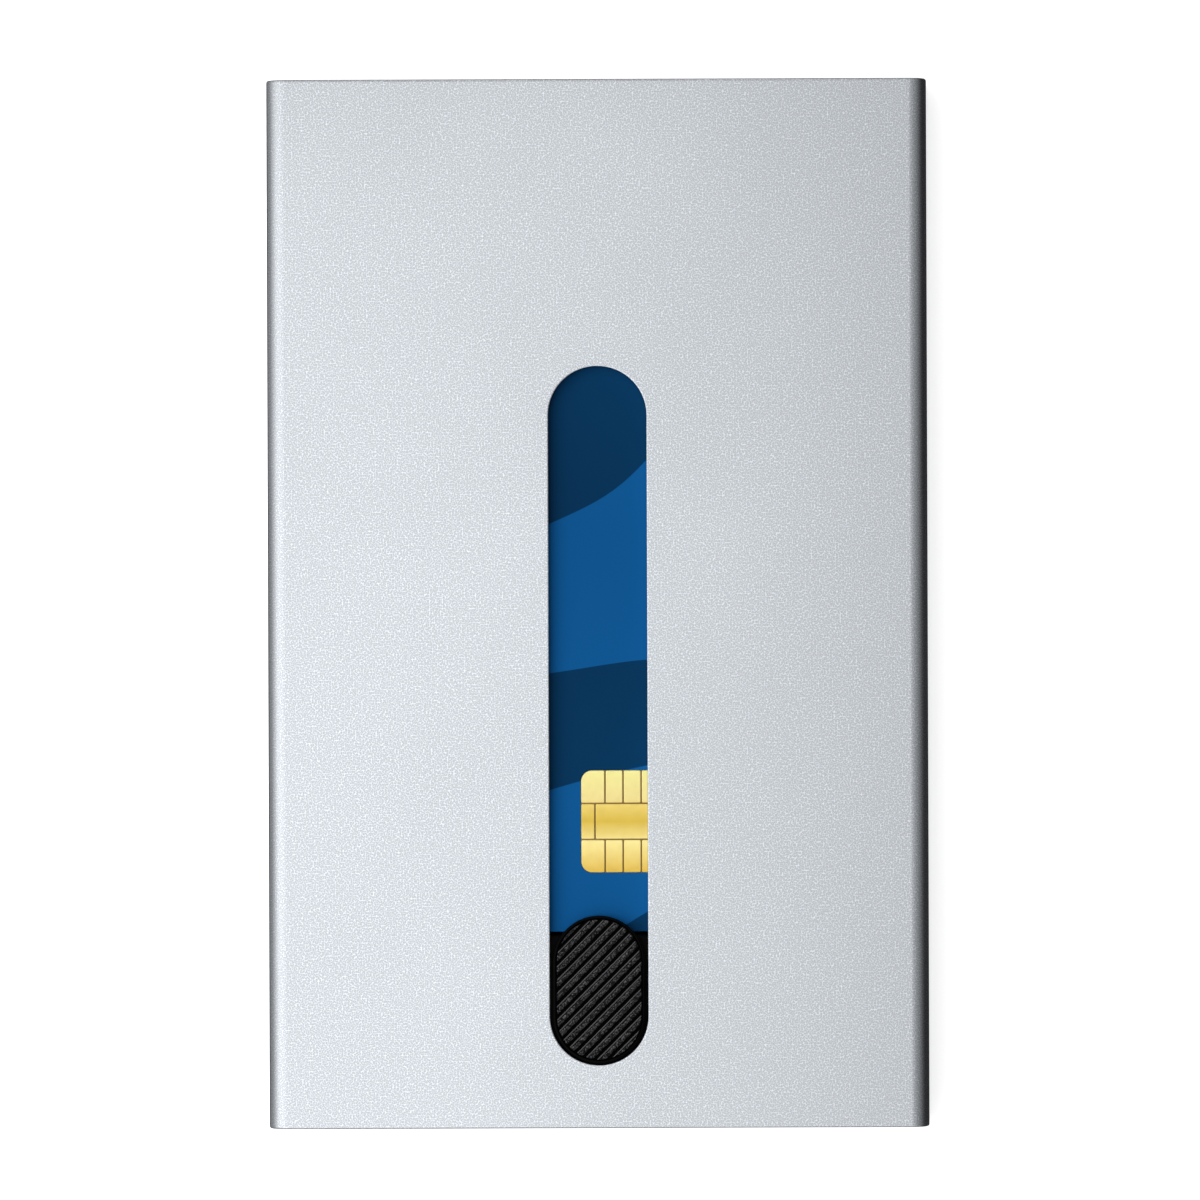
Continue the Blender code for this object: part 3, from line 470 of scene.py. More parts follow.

# %% [markdown]
# ### Gold contacts
#
# The contacts are copper plated with nickel and gold. In the picture the gold runs from a pale straw at the
# top to a deep yellow in the middle and at the lower edge. A ramp along Y paints this light and dark of its
# reflections into its colour. Between the contacts the brown resin of the backing shows.

# %% Finish: gold and its backing
chip_middle = (chip_low + chip_high) / 2
gold = new_finish("gold_contacts", (0.85, 0.65, 0.22), 0.34, 0.75)
place = object_place(gold)
along_chip = spread(gold, coordinate(gold, place, "Y"), 0.0, 1.0, chip_low[1], chip_high[1])
ramp = add_node(gold, "ValToRGB", {"Fac": along_chip})
# The gold's own colour with painted reflection: lighter and darker bands along Y
GOLD_AND_REFLECTION_STOPS = (
    (0.00, (0.66, 0.43, 0.064)),
    (0.10, (0.735, 0.54, 0.138)),
    (0.30, (0.86, 0.735, 0.287)),
    (0.36, (0.775, 0.615, 0.197)),
    (0.50, (0.625, 0.435, 0.059)),
    (0.66, (0.755, 0.575, 0.148)),
    (0.72, (0.77, 0.645, 0.262)),
    (1.00, (0.815, 0.75, 0.29)),
)
elements = ramp.color_ramp.elements
while len(elements) < len(GOLD_AND_REFLECTION_STOPS):
    elements.new(0.5)
for element, (stop, colour) in zip(elements, GOLD_AND_REFLECTION_STOPS):
    element.position = stop
    element.color = (*colour, 1.0)
feed(gold, "Base Color", ramp.outputs["Color"])
vary_roughness(gold, place, 1400.0, 0.28, 0.42, 3.0)
raise_grain(gold, (noise(gold, place, 5000.0), 0.0008 * MM))

wander, grain = (2500.0, 0.45, 0.6), (0.001 * MM, 6000.0)
chip_resin = grained_finish("brown_chip_backing", (0.24, 0.14, 0.02), 0.5, wander, grain)
print("gold ramp stops:", len(elements))

# %% Finishes for the card's back
shade, fine_lines = (0.012, 0.011, 0.011), (9000, 40, 9000)
wander, grain = (1.0, 0.26, 0.38), (0.0004 * MM, 1.0)
stripe_black = grained_finish("magnetic_stripe_black", shade, 0.32, wander, grain, fine_lines)

panel_white = new_finish("signature_panel_white", (0.78, 0.78, 0.76), 0.6)
hatching = noise(panel_white, object_place(panel_white, scale=(1, 0.05, 1), turn=(0, 0, 0.785)), 1800.0, 1.0)
panel_share = spread(panel_white, hatching, 0.0, 1.0)
colour_by(panel_white, panel_share, (0.70, 0.71, 0.72), (0.82, 0.82, 0.80))
raise_grain(panel_white, (noise(panel_white, object_place(panel_white), 4000.0), 0.001 * MM))
print("card back finishes:", stripe_black.name, panel_white.name)

# %% [markdown]
# ## The aluminium sleeve
#
# The real tube is extruded and cut to length, and a slot is milled through its front. A boolean could cut the
# slot out of a solid, but it leaves long thin triangles that spoil the sheen. Here the wall's closed profile,
# outer line, rounded mouth edge, inner line and rounded closed edge, is carried round the tube's outline. The
# lines of that grid are placed so that a window of its cells can be left out round the slot. The window is
# then filled with rings that run from its border to the slot's outline, and down through the wall.

# %% Sizes of the sleeve
WALL = 1.0 * MM
CORNER_RADIUS = 1.8 * MM
END_ROUNDING = 0.24 * MM
INNER_ROUNDING = 0.12 * MM
SUPPORT = 0.05 * MM
SLOT_HALF_WIDTH = 4.975 * MM
SLOT_LOW_Y, SLOT_HIGH_Y = -46.65 * MM, 24.0 * MM
SLOT_FEET_Y = np.array([SLOT_LOW_Y + SLOT_HALF_WIDTH, SLOT_HIGH_Y - SLOT_HALF_WIDTH])
WINDOW_HALF = 6.6 * MM
SLOT_RIM = 0.13 * MM
SLOT_DROP = 0.045 * MM
front_z, back_z = case_high[2], case_low[2]
foot_x = case_high[0] - CORNER_RADIUS
foot_z = np.array([back_z, front_z]) + CORNER_RADIUS * np.array([1, -1])
print("slot, mm:", SLOT_LOW_Y / MM, "to", SLOT_HIGH_Y / MM, "with feet at", SLOT_FEET_Y / MM)


# %% Stations round the tube and along its wall
def window_stations(count):
    """Places along a window's side that are an equal turn apart, seen from the slot's foot: a * tan(t)."""
    return WINDOW_HALF * np.tan(np.linspace(-np.pi / 4, np.pi / 4, count + 1))


ACROSS = 32
across_x = np.concatenate([[-foot_x + SUPPORT], window_stations(ACROSS), [foot_x - SUPPORT]])
half_window = window_stations(ACROSS)[: ACROSS // 2 + 1]
straight_y = np.linspace(*SLOT_FEET_Y, 13)[1:-1]
window_y = np.concatenate([SLOT_FEET_Y[0] + half_window, straight_y, SLOT_FEET_Y[1] - half_window[::-1]])
CORNER_STEPS = 12
quarter = np.linspace(np.pi / 2, 0, CORNER_STEPS + 1)
corner_feet = ((foot_x, foot_z[1]), (foot_x, foot_z[0]), (-foot_x, foot_z[0]), (-foot_x, foot_z[1]))
feet = [points_of(across_x, foot_z[1])]
turns = [np.full_like(across_x, np.pi / 2)]
sides = (((0, -1), 0.0), ((-1, 0), -np.pi / 2), ((0, 1), np.pi))
for number, foot in enumerate(corner_feet):
    feet.append(np.broadcast_to(foot, (CORNER_STEPS + 1, 2)))
    turns.append(quarter - number * np.pi / 2)
    if number < 3:
        towards, turn = np.array(sides[number][0]), sides[number][1]
        following = np.array(corner_feet[number + 1])
        feet.append(np.stack([foot + SUPPORT * towards, following - SUPPORT * towards]))
        turns.append(np.array([turn, turn]))
ring_feet = np.concatenate(feet)
ring_turns = np.concatenate(turns)
ring_directions = points_of(np.cos(ring_turns), np.sin(ring_turns))
print("stations round the tube:", len(ring_feet))

# %% The wall's closed profile: offset from the outer face, and place along Y
low_y, high_y = case_low[1], case_high[1]
outer_y = np.concatenate([[low_y + END_ROUNDING + SUPPORT], window_y, [high_y - END_ROUNDING - SUPPORT]])
mouth_edge = profile_of(
    bend((0, high_y), (0, -END_ROUNDING), (-END_ROUNDING, 0)),
    bend((-WALL, high_y), (INNER_ROUNDING, 0), (0, -INNER_ROUNDING), 4),
)
closed_edge = profile_of(
    bend((-WALL, low_y), (0, INNER_ROUNDING), (INNER_ROUNDING, 0), 4),
    bend((0, low_y), (-END_ROUNDING, 0), (0, END_ROUNDING)),
)
wall = profile_of(points_of(0, outer_y), mouth_edge, points_of(-WALL, outer_y[::-1]), closed_edge)
print("stations along the wall's profile:", len(wall))

# %% The tube's grid, with a window left out of both faces of its front
reach = CORNER_RADIUS + wall[:, 0]
across = ring_feet[None] + reach[:, None, None] * ring_directions[None]
tube_rings = points_of(across[..., 0], wall[:, 1, None], across[..., 1])
tube_quads = quads_between(*tube_rings.shape[:2], closed=True)
middles = tube_rings.reshape(-1, 3)[tube_quads].mean(axis=2)
in_window = (
    (np.abs(middles[..., 0]) < WINDOW_HALF)
    & (middles[..., 1] > window_y[0])
    & (middles[..., 1] < window_y[-1])
    & (middles[..., 2] > front_z - 1.5 * WALL)
)
tube = (tube_rings.reshape(-1, 3), tube_quads[~in_window])
print("cells left out for the window:", int(in_window.sum()))

# %% The window's border, and the rings from it to the slot
side_y = window_y[1:-1]
top_x = window_stations(ACROSS)
border = profile_of(
    points_of(WINDOW_HALF, side_y),
    points_of(top_x[::-1], window_y[-1]),
    points_of(-WINDOW_HALF, side_y[::-1]),
    points_of(top_x, window_y[0]),
)
border_feet = points_of(0, np.clip(border[:, 1], *SLOT_FEET_Y))
outward = border - border_feet
outward /= np.linalg.norm(outward, axis=1)[:, None]
slot_outline = (border_feet, outward, np.full(len(border), SLOT_HALF_WIDTH))
inner_z = front_z - WALL
slot_profile = profile_of(
    (SLOT_RIM + SUPPORT, front_z),
    bend((0, front_z), (SLOT_RIM, 0), (0, -SLOT_DROP), 8),
    (0, front_z - SLOT_DROP - SUPPORT),
    (0, inner_z + INNER_ROUNDING + SUPPORT),
    bend((0, inner_z), (0, INNER_ROUNDING), (INNER_ROUNDING, 0), 4),
    (INNER_ROUNDING + SUPPORT, inner_z),
)
border_ring = np.concatenate([border, np.zeros((len(border), 1))], axis=1)[None]
slot_surface = shell(
    border_ring + (0, 0, front_z), rings_of(slot_outline, slot_profile), border_ring + (0, 0, inner_z)
)
make_piece(
    "extruded_sleeve", together(tube, slot_surface), aluminium, "case", ["sleeve"], "anodised_aluminium"
)

# %% [markdown]
# ## The thumb button and its ribbed inlay
#
# The button is a moulding with a rounded rim round a recess; below it are a foot and two snap legs that hold
# it to the carriage. Its body is one profile carried round a round-ended outline. The foot stops short of the
# card, so its points are pushed back to a straight line there.

# %% The button's body
BUTTON_LENGTH = 14.85 * MM
BUTTON_ROUNDING = 0.16 * MM
BUTTON_RIM = 0.24 * MM
RIM_EDGE = 0.06 * MM
FOOT_INSET = 0.5 * MM
FOOT_BOTTOM_Z = 7.85 * MM
INLAY_GAP = 0.06 * MM
END_GAP = 0.25 * MM
CARD_CLEARANCE = 0.35 * MM
button_middle = (button_low + button_high) / 2
button_half = np.array([button_high[0] - button_middle[0], BUTTON_LENGTH / 2])
button_middle[1] = SLOT_LOW_Y + END_GAP + button_half[1]
button_top = button_high[2]
recess_z = inlay_low[2] - INLAY_GAP
under_z = card_high[2] + CARD_CLEARANCE
foot_end_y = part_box("carriage")[1][1] - FOOT_INSET
button_outline = corner_outline(button_middle[:2], button_half, button_half[0], 24)
button_profile = profile_of(
    (-BUTTON_RIM, recess_z),
    (-BUTTON_RIM, button_top - RIM_EDGE - SUPPORT / 2),
    bend((-BUTTON_RIM, button_top), (0, -RIM_EDGE), (RIM_EDGE, 0), 4),
    bend((0, button_top), (-BUTTON_ROUNDING, 0), (0, -BUTTON_ROUNDING), 8),
    (0, button_top - BUTTON_ROUNDING - SUPPORT / 2),
    (0, under_z + SUPPORT),
    bend((0, under_z), (0, SUPPORT), (-SUPPORT, 0), 2),
)
foot_rings = rings_of(button_outline, profile_of((-FOOT_INSET, under_z), (-FOOT_INSET, FOOT_BOTTOM_Z)))
foot_rings[..., 1] = np.minimum(foot_rings[..., 1], foot_end_y)
body_rings = rings_of(button_outline, button_profile)
foot_centre = (button_middle[0], (foot_rings[..., 1].min() + foot_end_y) / 2, FOOT_BOTTOM_Z)
button_body = shell(
    pole(body_rings, (*button_middle[:2], recess_z)), body_rings, foot_rings, pole(body_rings, foot_centre)
)
print("button rim to recess, mm:", round(BUTTON_RIM / MM, 2))

# %% The snap legs and the finished button
LEG_Y = (-44.0 * MM, -36.15 * MM)
LEG_HALF_WIDTH = 1.2 * MM
LEG_HALF_DEPTH = 0.45 * MM
LEG_OVERLAP = 0.1 * MM
BARB = 0.4 * MM
BARB_HEIGHT = 0.25 * MM
CATCH_Z, TIP_Z = 6.45 * MM, 5.65 * MM


def snap_leg(leg_y, outward_sign):
    """Leg with a barb: its side view as a closed outline, carried across its width."""
    half, root_z, low_barb_z = LEG_HALF_DEPTH, FOOT_BOTTOM_Z + LEG_OVERLAP, CATCH_Z - BARB_HEIGHT
    y = np.array([-half, -half, half * 0.6, half + BARB, half + BARB, half, half])
    z = np.array([root_z, TIP_Z, TIP_Z, low_barb_z, CATCH_Z, CATCH_Z, root_z])
    centre = np.array([0.0, (TIP_Z + root_z) / 2])
    share = np.array([0, 1, 1, 0])[:, None, None]
    flat = centre + (points_of(y, z) - centre) * share
    x = np.array([-1, -1, 1, 1])[:, None] * LEG_HALF_WIDTH
    return shell(points_of(x, leg_y + outward_sign * flat[..., 0], flat[..., 1]))


button_shell = together(button_body, snap_leg(LEG_Y[0], -1), snap_leg(LEG_Y[1], 1))
make_piece(
    "thumb_button_body", button_shell, moulded_black, "carriage_group", ["thumb_button"], "black_plastic"
)

# %% [markdown]
# The inlay's ribs run from lower left to upper right. Seen across, each step of the pattern has a narrow lip,
# a fine line, a broad crest and a deep groove. A grid on X and Y would cut the ribs into steps, so the grid
# follows them: one parameter goes across the ribs, and the other goes along the chord of the outline there.
# The height is the rib profile, eased down to the rim by the distance from the outline.

# %% The ribbed inlay
RIB_PITCH = 0.95 * MM
RIB_TURN = math.radians(45)
INLAY_EDGE = 0.14 * MM
RIBS_EACH_WAY = 8
# Share of the pitch, going towards the lower right, and the depth below the top in mm
RIB_STEPS = np.array(
    [
        (0.00, 0.36), (0.040, 0.34), (0.062, 0.17), (0.075, 0.03), (0.085, 0.0), (0.190, 0.0),
        (0.200, 0.03), (0.214, 0.18), (0.237, 0.24), (0.260, 0.18), (0.275, 0.04), (0.285, 0.015),
        (0.38, 0.015), (0.45, 0.024), (0.52, 0.042), (0.62, 0.05), (0.70, 0.056), (0.735, 0.08),
        (0.755, 0.17), (0.78, 0.29), (0.81, 0.35), (0.90, 0.36),
    ]
)
inlay_middle = (inlay_low + inlay_high) / 2
inlay_half = (inlay_high - inlay_low)[:2] / 2
inlay_radius = inlay_half[0]
foot_reach = inlay_half[1] - inlay_radius
rib_way = np.array([math.cos(RIB_TURN), math.sin(RIB_TURN)])
across_way = np.array([math.sin(RIB_TURN), -math.cos(RIB_TURN)])
extent = abs(foot_reach * across_way[1]) + inlay_radius
numbers = np.arange(-RIBS_EACH_WAY, RIBS_EACH_WAY)
across_s = ((numbers[:, None] + RIB_STEPS[None, :, 0]) * RIB_PITCH).ravel()
depth_s = np.tile(RIB_STEPS[:, 1] * MM, len(numbers))
rim_s = extent * crowded(61)
all_s = np.unique(np.concatenate([across_s, rim_s]).round(8))
all_s = all_s[(all_s > -extent) & (all_s < extent)]
all_s = np.concatenate([[-extent], all_s, [extent]])
depth = np.interp(all_s, across_s, depth_s)
print("stations across the ribs:", len(all_s))


# %% Chords of the inlay's outline, and the height over them
def distance_inside(points):
    """Distance from the outline: the radius less the distance to the line between the two feet."""
    nearest = np.clip(points[..., 1], -foot_reach, foot_reach)
    return inlay_radius - np.hypot(points[..., 0], points[..., 1] - nearest)


def chord_end(sign):
    """Where each rib's line meets the outline: the interval from the middle line is halved forty times."""
    near, far = np.zeros_like(all_s), np.full_like(all_s, 3 * extent)
    middle_line = -all_s / extent * foot_reach * rib_way[1]
    for _ in range(40):
        half = (near + far) / 2
        points = all_s[:, None] * across_way + (middle_line + sign * half)[:, None] * rib_way
        inside = distance_inside(points) > 0
        near, far = np.where(inside, half, near), np.where(inside, far, half)
    return middle_line + sign * near


SHOULDER = 0.34 * MM
low_t, high_t = chord_end(-1), chord_end(1)
t = low_t[:, None] + (high_t - low_t)[:, None] * (0.5 + 0.5 * crowded(41))
flat = all_s[:, None, None] * across_way + t[..., None] * rib_way
inside = np.clip(distance_inside(flat) / INLAY_EDGE, 0, 1)
ease = np.sqrt(1 - (1 - inside) ** 2)
crest = inlay_high[2] - depth[:, None]
height = (inlay_high[2] - SHOULDER) + (crest - inlay_high[2] + SHOULDER) * ease
top = np.concatenate([flat + inlay_middle[:2], height[..., None]], axis=2)
print("inlay grid:", top.shape[:2], "highest, mm:", round(float(height.max() / MM), 3))

# %% Close the inlay with a wall and a floor
sides = (top[:, 0], top[-1, 1:-1], top[::-1, -1], top[0, -2:0:-1])
rim = np.concatenate(sides)[None]
floor_ring = rim * (1, 1, 0) + (0, 0, inlay_low[2])
wall_and_floor = shell(rim, floor_ring, pole(rim, (*inlay_middle[:2], inlay_low[2])))
make_piece(
    "ribbed_inlay",
    together(shell(top, around=False), wall_and_floor),
    soft_black,
    "carriage_group",
    ["grip_inlay"],
    "black_rubber",
)

# %% [markdown]
# ## The card and its contact plate
#
# A card is punched from laminated sheet, so its edge is slightly rounded. A stepped pocket is milled for the
# chip. All of it is one loft: from the pocket's floor out to the card's front face, round its edge and over
# its back.

# %% The card
CARD_RADIUS = 3.18 * MM
CARD_EDGE = 0.08 * MM
# The stripe and the panel on the card's back stand this proud of it
BACK_INSET = 0.012 * MM
CHIP_RADIUS = 1.1 * MM
POCKET_GAP = 0.04 * MM
POCKET_EDGE = 0.02 * MM
POCKET_DEPTH = 0.24 * MM
MODULE_DEPTH = 0.58 * MM
MODULE_HALF = np.array([2.8, 3.5]) * MM
MODULE_RADIUS = 0.8 * MM
STEPS = 12
module_outline = corner_outline(chip_middle[:2], MODULE_HALF, MODULE_RADIUS, STEPS)
plate_outline = corner_outline(chip_middle[:2], (chip_high - chip_low)[:2] / 2, CHIP_RADIUS, STEPS)
card_outline = corner_outline(card_middle[:2], (card_high - card_low)[:2] / 2, CARD_RADIUS, STEPS)
card_front, card_back = card_high[2], card_low[2] + BACK_INSET
pocket_z, deep_z = card_front - POCKET_DEPTH, card_front - MODULE_DEPTH
module_rings = rings_of(module_outline, [(POCKET_GAP, deep_z), (POCKET_GAP, pocket_z)])
pocket_profile = profile_of(
    (POCKET_GAP, pocket_z),
    (POCKET_GAP, card_front - POCKET_EDGE),
    (POCKET_GAP + POCKET_EDGE, card_front),
    (POCKET_GAP + 2 * POCKET_EDGE, card_front),
)
edge_profile = profile_of(
    (-CARD_EDGE - SUPPORT, card_front),
    bend((0, card_front), (-CARD_EDGE, 0), (0, -CARD_EDGE), 4),
    bend((0, card_back), (0, CARD_EDGE), (-CARD_EDGE, 0), 4),
    (-CARD_EDGE - SUPPORT, card_back),
)
card_shell = shell(
    pole(module_rings, (*chip_middle[:2], deep_z)),
    module_rings,
    rings_of(plate_outline, pocket_profile),
    rings_of(card_outline, edge_profile),
    pole(module_rings, (*card_middle[:2], card_back)),
)
make_piece("printed_card", card_shell, card_print, "card_group", ["card"], "blue_card")
# %% [markdown]
# The contact plate is a brown backing with ten gold contacts: four at each end, and a narrow and a broad one
# between them. Each is a small pillow with a rounded rim, so its edges catch the light. Only a contact at a
# corner of the plate has one large corner radius.

# %% The contact plate
LINE_WIDTH = 0.14 * MM
CONTACT_HEIGHT = 0.08 * MM
CONTACT_RIM = 0.06 * MM
SMALL_RADIUS = 0.12 * MM
FINE = 0.01 * MM
# Shares of the plate: the rows at its ends, the narrow contact between them, and the end rows' first contact
ROW_SHARE, NARROW_SHARE, FIRST_SHARE = 0.323, 0.165, 0.285
plate_low, plate_high = chip_low[:2], chip_high[:2]
plate_size = plate_high - plate_low
row_y = plate_low[1] + plate_size[1] * np.array([0, ROW_SHARE, 1 - ROW_SHARE, 1])
row_x = plate_low[0] + plate_size[0] * np.array([0, FIRST_SHARE, 0.5, 1 - FIRST_SHARE, 1])
middle_x = plate_low[0] + plate_size[0] * np.array([0, NARROW_SHARE, 1])
backing_z = card_front - CONTACT_HEIGHT


def contact(x_pair, y_pair):
    """One contact between two lines each way, shrunk by half a line where a line bounds it."""
    low, high = np.transpose([x_pair, y_pair])
    at_low, at_high = np.isclose(low, plate_low), np.isclose(high, plate_high)
    low += np.where(at_low, 0, LINE_WIDTH / 2)
    high -= np.where(at_high, 0, LINE_WIDTH / 2)
    (left, bottom), (right, top) = at_low, at_high
    at_corner = (right & top, left & top, left & bottom, right & bottom)
    radii = np.where(at_corner, CHIP_RADIUS, SMALL_RADIUS)
    middle = (low + high) / 2
    outline = corner_outline(middle, high - middle, radii, 8)
    profile = profile_of(
        (0, backing_z - 2 * FINE),
        bend((0, card_front), (0, -CONTACT_RIM / 2), (-CONTACT_RIM, 0), 4),
        (-CONTACT_RIM - FINE, card_front),
    )
    rings = rings_of(outline, profile)
    return shell(rings, pole(rings, (*middle, card_front)))


contacts = [contact(row_x[i:i + 2], row_y[j:j + 2]) for j in (0, 2) for i in range(4)]
contacts += [contact(middle_x[i:i + 2], row_y[1:3]) for i in range(2)]
backing_rings = rings_of(plate_outline, [(0, chip_low[2]), (0, backing_z - FINE), (-FINE, backing_z)])
backing = shell(
    pole(backing_rings, (*chip_middle[:2], chip_low[2])),
    backing_rings,
    pole(backing_rings, (*chip_middle[:2], backing_z)),
)
make_piece("gold_contact_fields", together(*contacts), gold, "card_group", (), "gold_contacts")
make_piece("contact_plate_backing", backing, chip_resin, "card_group", ["chip_contacts"], "chip_moulding")

# %% [markdown]
# ## Mouldings inside
#
# The carriage, the plug and the rails have the right shape in the frame, but a moulding has no sharp edges.
# A copy of each is merged, its flat facets are joined, and a narrow Bevel rounds its edges. Smooth shading
# alone would then bend the light over the flat faces too, so the normals are weighted by the faces' areas,
# which keeps the broad ones flat.

# %% Softened copies of the mouldings
FLAT_ANGLE = math.radians(1)
EDGE_ANGLE = math.radians(40)


def softened_copy(node, name, width, finish, body, slot):
    """Copy of a frame node with its doubles merged, its flat facets joined and its edges rounded."""
    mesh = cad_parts[node].data.copy()
    mesh.name = name
    piece = add_piece(mesh, finish, body, [node], slot, FLAT_ANGLE)
    rounding = piece.modifiers.new("rounded edges", "BEVEL")
    rounding.width = width
    rounding.segments = 2
    rounding.limit_method = "ANGLE"
    rounding.angle_limit = EDGE_ANGLE
    shading = piece.modifiers.new("flat faces stay flat", "WEIGHTED_NORMAL")
    shading.weight = 100


softened_copy("carriage", "card_carriage", 0.12 * MM, moulded_black, "carriage_group", "black_plastic")
softened_copy("base_plug", "closing_plug", 0.1 * MM, housing_black, "case", "black_plastic")
for side in ("left", "right"):
    names = (f"side_rail_{side}", f"moulded_rail_{side}")
    softened_copy(*names, 0.1 * MM, housing_black, "case", "black_plastic")

# %% [markdown]
# ## Rubber strips and felt liner
#
# A rubber strip sits in a seat in each rail near the mouth and brakes the cards by their edges. Rubber has no
# sharp edge either: the strip is crowned towards the cards, and small cross ribs give it its grip. Its rings
# stand across Y. The felt liner lies on the back of the tube. It is a sheet, thin and slightly uneven, with a
# rolled border: its two faces are one grid, parted by a thickness that falls to nothing at the outline.


# %% The rubber strips
STRIP_ROUNDING = 0.15 * MM
STRIP_STATIONS = 177
STRIP_CROWN = 0.12 * MM
STRIP_RIB_PITCH = 1.1 * MM
STRIP_RIB_DEPTH = 0.08 * MM


def rubber_strip(side_name):
    """Rings across Y: x falls off by crown * share^2 towards the strip's long edges and between its ribs."""
    low, high = np.array(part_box(f"grip_strip_{side_name}"))
    middle, half = (low + high) / 2, (high - low) / 2
    outline = corner_outline(middle[[2, 0]], half[[2, 0]], STRIP_ROUNDING, 6, 12)
    y = np.linspace(low[1] + STRIP_ROUNDING, high[1] - STRIP_ROUNDING, STRIP_STATIONS)
    profile = profile_of(
        bend((0, low[1]), (-STRIP_ROUNDING, 0), (0, STRIP_ROUNDING), 5)[:-1],
        points_of(0, y),
        bend((0, high[1]), (0, -STRIP_ROUNDING), (-STRIP_ROUNDING, 0), 5)[1:],
    )
    rings = rings_of(outline, profile)[..., [1, 2, 0]]
    inward = -np.sign(middle[0])
    near_cards = np.clip((rings[..., 0] - middle[0]) * inward / half[0], 0, 1)
    across = (rings[..., 2] - middle[2]) / half[2]
    ribs = 0.5 - 0.5 * np.cos(2 * np.pi * (rings[..., 1] - low[1]) / STRIP_RIB_PITCH)
    rings[..., 0] -= inward * near_cards * (STRIP_CROWN * across**2 + STRIP_RIB_DEPTH * ribs)
    ends = [pole(rings, ring.mean(axis=0)) for ring in (rings[0], rings[-1])]
    return shell(ends[0], rings, ends[1])


for side in ("left", "right"):
    strip = rubber_strip(side)
    make_piece(f"rubber_strip_{side}", strip, brake_rubber, "case", [f"grip_strip_{side}"], "black_rubber")

# %% The felt liner
LINER_RADIUS = 1.5 * MM
LINER_SAG = 0.05 * MM
liner_low, liner_high = np.array(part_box("back_liner"))
liner_middle, liner_half = (liner_low + liner_high) / 2, (liner_high - liner_low) / 2
liner_x = liner_half[0] * crowded(61)
in_corner = np.clip(np.abs(liner_x) - liner_half[0] + LINER_RADIUS, 0, LINER_RADIUS)
reach_y = liner_half[1] - LINER_RADIUS + np.sqrt(LINER_RADIUS**2 - in_corner**2)
liner_y = reach_y[:, None] * crowded(97)
liner_x = np.broadcast_to(liner_x[:, None], liner_y.shape)
beyond = np.stack([np.abs(liner_x) - liner_half[0], np.abs(liner_y) - liner_half[1]]) + LINER_RADIUS
from_border = LINER_RADIUS - np.hypot(*np.maximum(beyond, 0)) - np.minimum(beyond.max(axis=0), 0)
rolled = np.clip(from_border / liner_half[2], 0, 1)
thickness = liner_half[2] * np.sqrt(1 - (1 - rolled) ** 2)
waves_x = np.sin(liner_x / (4.1 * MM) + 0.7)
waves_y = np.sin(liner_y / (5.3 * MM) + liner_x / (9 * MM))
uneven = 0.5 + 0.25 * waves_x + 0.25 * waves_y
liner_top = liner_middle[2] + thickness - LINER_SAG * uneven * rolled
liner_faces = [
    shell(points_of(liner_x, liner_y + liner_middle[1], z), around=False)
    for z in (liner_top, liner_middle[2] - thickness)
]
liner = make_piece("felt_liner", together(*liner_faces), felt, "case", ["back_liner"], "dark_felt")

# %% Finishes for the nodes that stay as they are
FINISH_OF_NODE = {
    "brake_spring_left": spring_steel,
    "brake_spring_right": spring_steel,
    "plug_screw_left": blackened_steel,
    "plug_screw_right": blackened_steel,
    "chip_module": chip_resin,
    "magnetic_stripe": stripe_black,
    "signature_panel": panel_white,
}
for node_name, node_finish in FINISH_OF_NODE.items():
    for material_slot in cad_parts[node_name].material_slots:
        material_slot.material = node_finish
print("frame nodes with a better finish:", len(FINISH_OF_NODE))

# %% [markdown]
# ## Floor, light and camera
#
# The case lies on a plain white table, which also glows a little for the camera and for reflections. One
# large soft light hangs low over the case and to its left, as the bright left edge and the dark right edge of
# the case show. A second one hangs higher and lights matt surfaces only, and these get only a part of the
# room's light, so that the slot's left side shades the card. Dark cards lie on the table all round the case.
# Only reflections see them, and they give the metal the dark lines along its edges.


# %% The floor
def flat_object(name, low, high, z, finish):
    """Rectangle between two corners, at a height, as an object of its own."""
    (x0, y0), (x1, y1) = low, high
    points = np.array([(x0, y0, 0), (x1, y0, 0), (x1, y1, 0), (x0, y1, 0)], float)
    mesh = bpy.data.meshes.new(name)
    mesh.from_pydata(points.tolist(), [], [(0, 1, 2, 3)])
    mesh.materials.append(finish)
    rectangle = new_object(name, mesh)
    rectangle.location = (0, 0, z)
    return rectangle


FLOOR_HALF = 2.0
FLOOR_GAP = 0.02 * MM
TABLE_GLOW = 0.7
floor_finish = new_finish(
    "white_table", (0.9, 0.9, 0.9), 0.8, specular=0.0, **{"Emission Color": (1.0, 1.0, 1.0, 1.0)}
)
rays = add_node(floor_finish, "LightPath").outputs
seen = rays["Is Camera Ray"]
for ray in ("Is Glossy Ray", "Is Transmission Ray"):
    seen = math_node(floor_finish, "MAXIMUM", seen, rays[ray])
feed(floor_finish, "Emission Strength", math_node(floor_finish, "MULTIPLY", seen, TABLE_GLOW))
table = flat_object("floor", (-FLOOR_HALF,) * 2, (FLOOR_HALF,) * 2, back_z - FLOOR_GAP, floor_finish)
print("floor half width, m:", FLOOR_HALF)


# %% Dark cards beside the case, which only reflections see
def dark_card(name, low, high, shade):
    """Flat card on the table, between two corners, hidden from everything but reflections."""
    finish = new_finish(name, (shade, shade, shade), 0.9, specular=0.0)
    card_object = flat_object(name, low, high, back_z, finish)
    card_object.visible_camera = card_object.visible_diffuse = False
    card_object.visible_transmission = card_object.visible_shadow = False


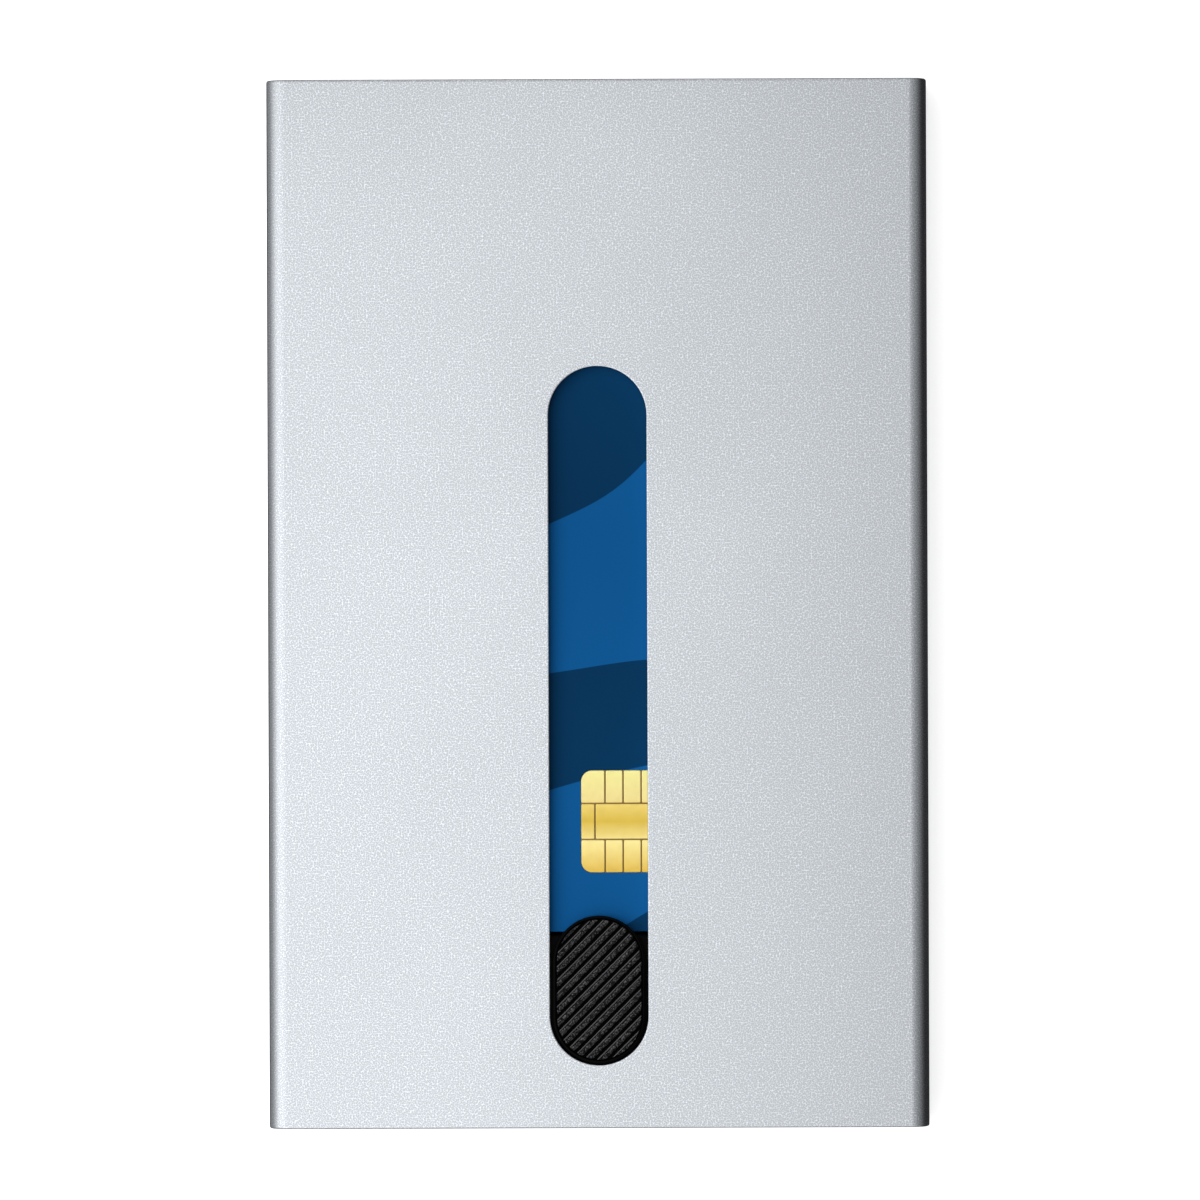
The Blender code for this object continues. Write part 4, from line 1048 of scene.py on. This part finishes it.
CARD_REACH = 1.9
NEAR_STRIP = 7.0 * MM
SHADOW_STRIP = 26.0 * MM
edge_x, edge_y = case_high[0], case_high[1]
dark_card("card_right_near", (edge_x, -CARD_REACH), (edge_x + SHADOW_STRIP, CARD_REACH), 0.04)
dark_card("card_right_far", (edge_x + SHADOW_STRIP, -CARD_REACH), (CARD_REACH, CARD_REACH), 0.01)
dark_card("card_left_near", (-edge_x - NEAR_STRIP, -edge_y), (-edge_x, edge_y), 0.01)
dark_card("card_left_far", (-CARD_REACH, -CARD_REACH), (-edge_x - NEAR_STRIP, CARD_REACH), 0.3)
dark_card("card_top", (-edge_x - NEAR_STRIP, edge_y), (edge_x, CARD_REACH), 0.1)
dark_card("card_bottom", (-edge_x - NEAR_STRIP, -CARD_REACH), (edge_x, -edge_y), 0.1)
print("dark cards reach, m:", CARD_REACH)


# %% The lamps
def soft_light(name, low, high, height, radiance, for_matt_only=False):
    """Area light that faces down between two corners: its power is pi * radiance * area."""
    size = np.subtract(high, low)
    lamp = bpy.data.lights.new(name, "AREA")
    lamp.shape = "RECTANGLE"
    lamp.size, lamp.size_y = size
    lamp.energy = math.pi * radiance * size.prod()
    holder = new_object(name, lamp)
    holder.location = (*np.add(low, high) / 2, height)
    holder.visible_camera = False
    holder.visible_glossy = not for_matt_only
    print(f"{name}: {lamp.energy:.2f} W")


soft_light("key_light", (-0.575, -0.485), (0.033, 0.093), height=0.26, radiance=0.8)
soft_light("matt_light", (-0.87, -0.18), (0.03, 0.48), height=0.5, radiance=1.7, for_matt_only=True)

# %% [markdown]
# The room's light depends on its direction. It is even on the left. On the right it grows with the height,
# from nothing at the table. Towards the two ends of the case it is brighter.

# %% The room's light, by direction
LEFT_GLOW = 0.8
RIGHT_GLOW = 0.48
RIGHT_GROWTH = 1.2
END_GLOW = 0.5
MATT_SHARE = 0.25
world = bpy.data.worlds.new("studio")
bpy.context.scene.world = world
world.use_nodes = True
direction = add_node(world, "TexCoord").outputs["Generated"]
x, y, z = add_node(world, "SeparateXYZ", {"Vector": direction}).outputs
growing = math_node(world, "POWER", math_node(world, "MAXIMUM", z), RIGHT_GROWTH)
right_level = spread(world, growing, 0.0, RIGHT_GLOW, 0.03, 1.0)
to_right = spread(world, x, 0.0, 1.0, -0.5, 0.5, smooth=True)
level = add_node(world, "Mix", {"Factor": to_right, "A": LEFT_GLOW, "B": right_level}).outputs[0]
end_level = spread(world, math_node(world, "ABSOLUTE", y), 0.0, END_GLOW, 0.45, 0.95, smooth=True)
level = math_node(world, "ADD", level, end_level)
is_matt = add_node(world, "LightPath").outputs["Is Diffuse Ray"]
level = math_node(world, "MULTIPLY", level, spread(world, is_matt, 1.0, MATT_SHARE, 0.0, 1.0))
background = world.node_tree.nodes["Background"]
world.node_tree.links.new(level, background.inputs["Strength"])
background.inputs["Color"].default_value = (1.0, 1.0, 1.0, 1.0)
print("room's nodes:", len(world.node_tree.nodes))

# %% The camera looks straight down, as in the picture
IMAGE_WIDTH = 121.2 * MM
SENSOR_WIDTH = 36.0
CAMERA_HEIGHT = 0.75
CAMERA_X, CAMERA_Y = 0.22 * MM, 0.35 * MM
CAMERA_ROLL = math.radians(-0.2)
camera_data = bpy.data.cameras.new("camera")
camera_data.sensor_width = SENSOR_WIDTH
camera_data.lens = SENSOR_WIDTH * CAMERA_HEIGHT / IMAGE_WIDTH
camera = new_object("camera", camera_data)
camera.location = (CAMERA_X, CAMERA_Y, front_z + CAMERA_HEIGHT)
camera.rotation_euler = (0, 0, CAMERA_ROLL)
bpy.context.scene.camera = camera
bpy.context.scene.view_settings.view_transform = "Standard"
print("lens, mm:", round(camera_data.lens, 1))
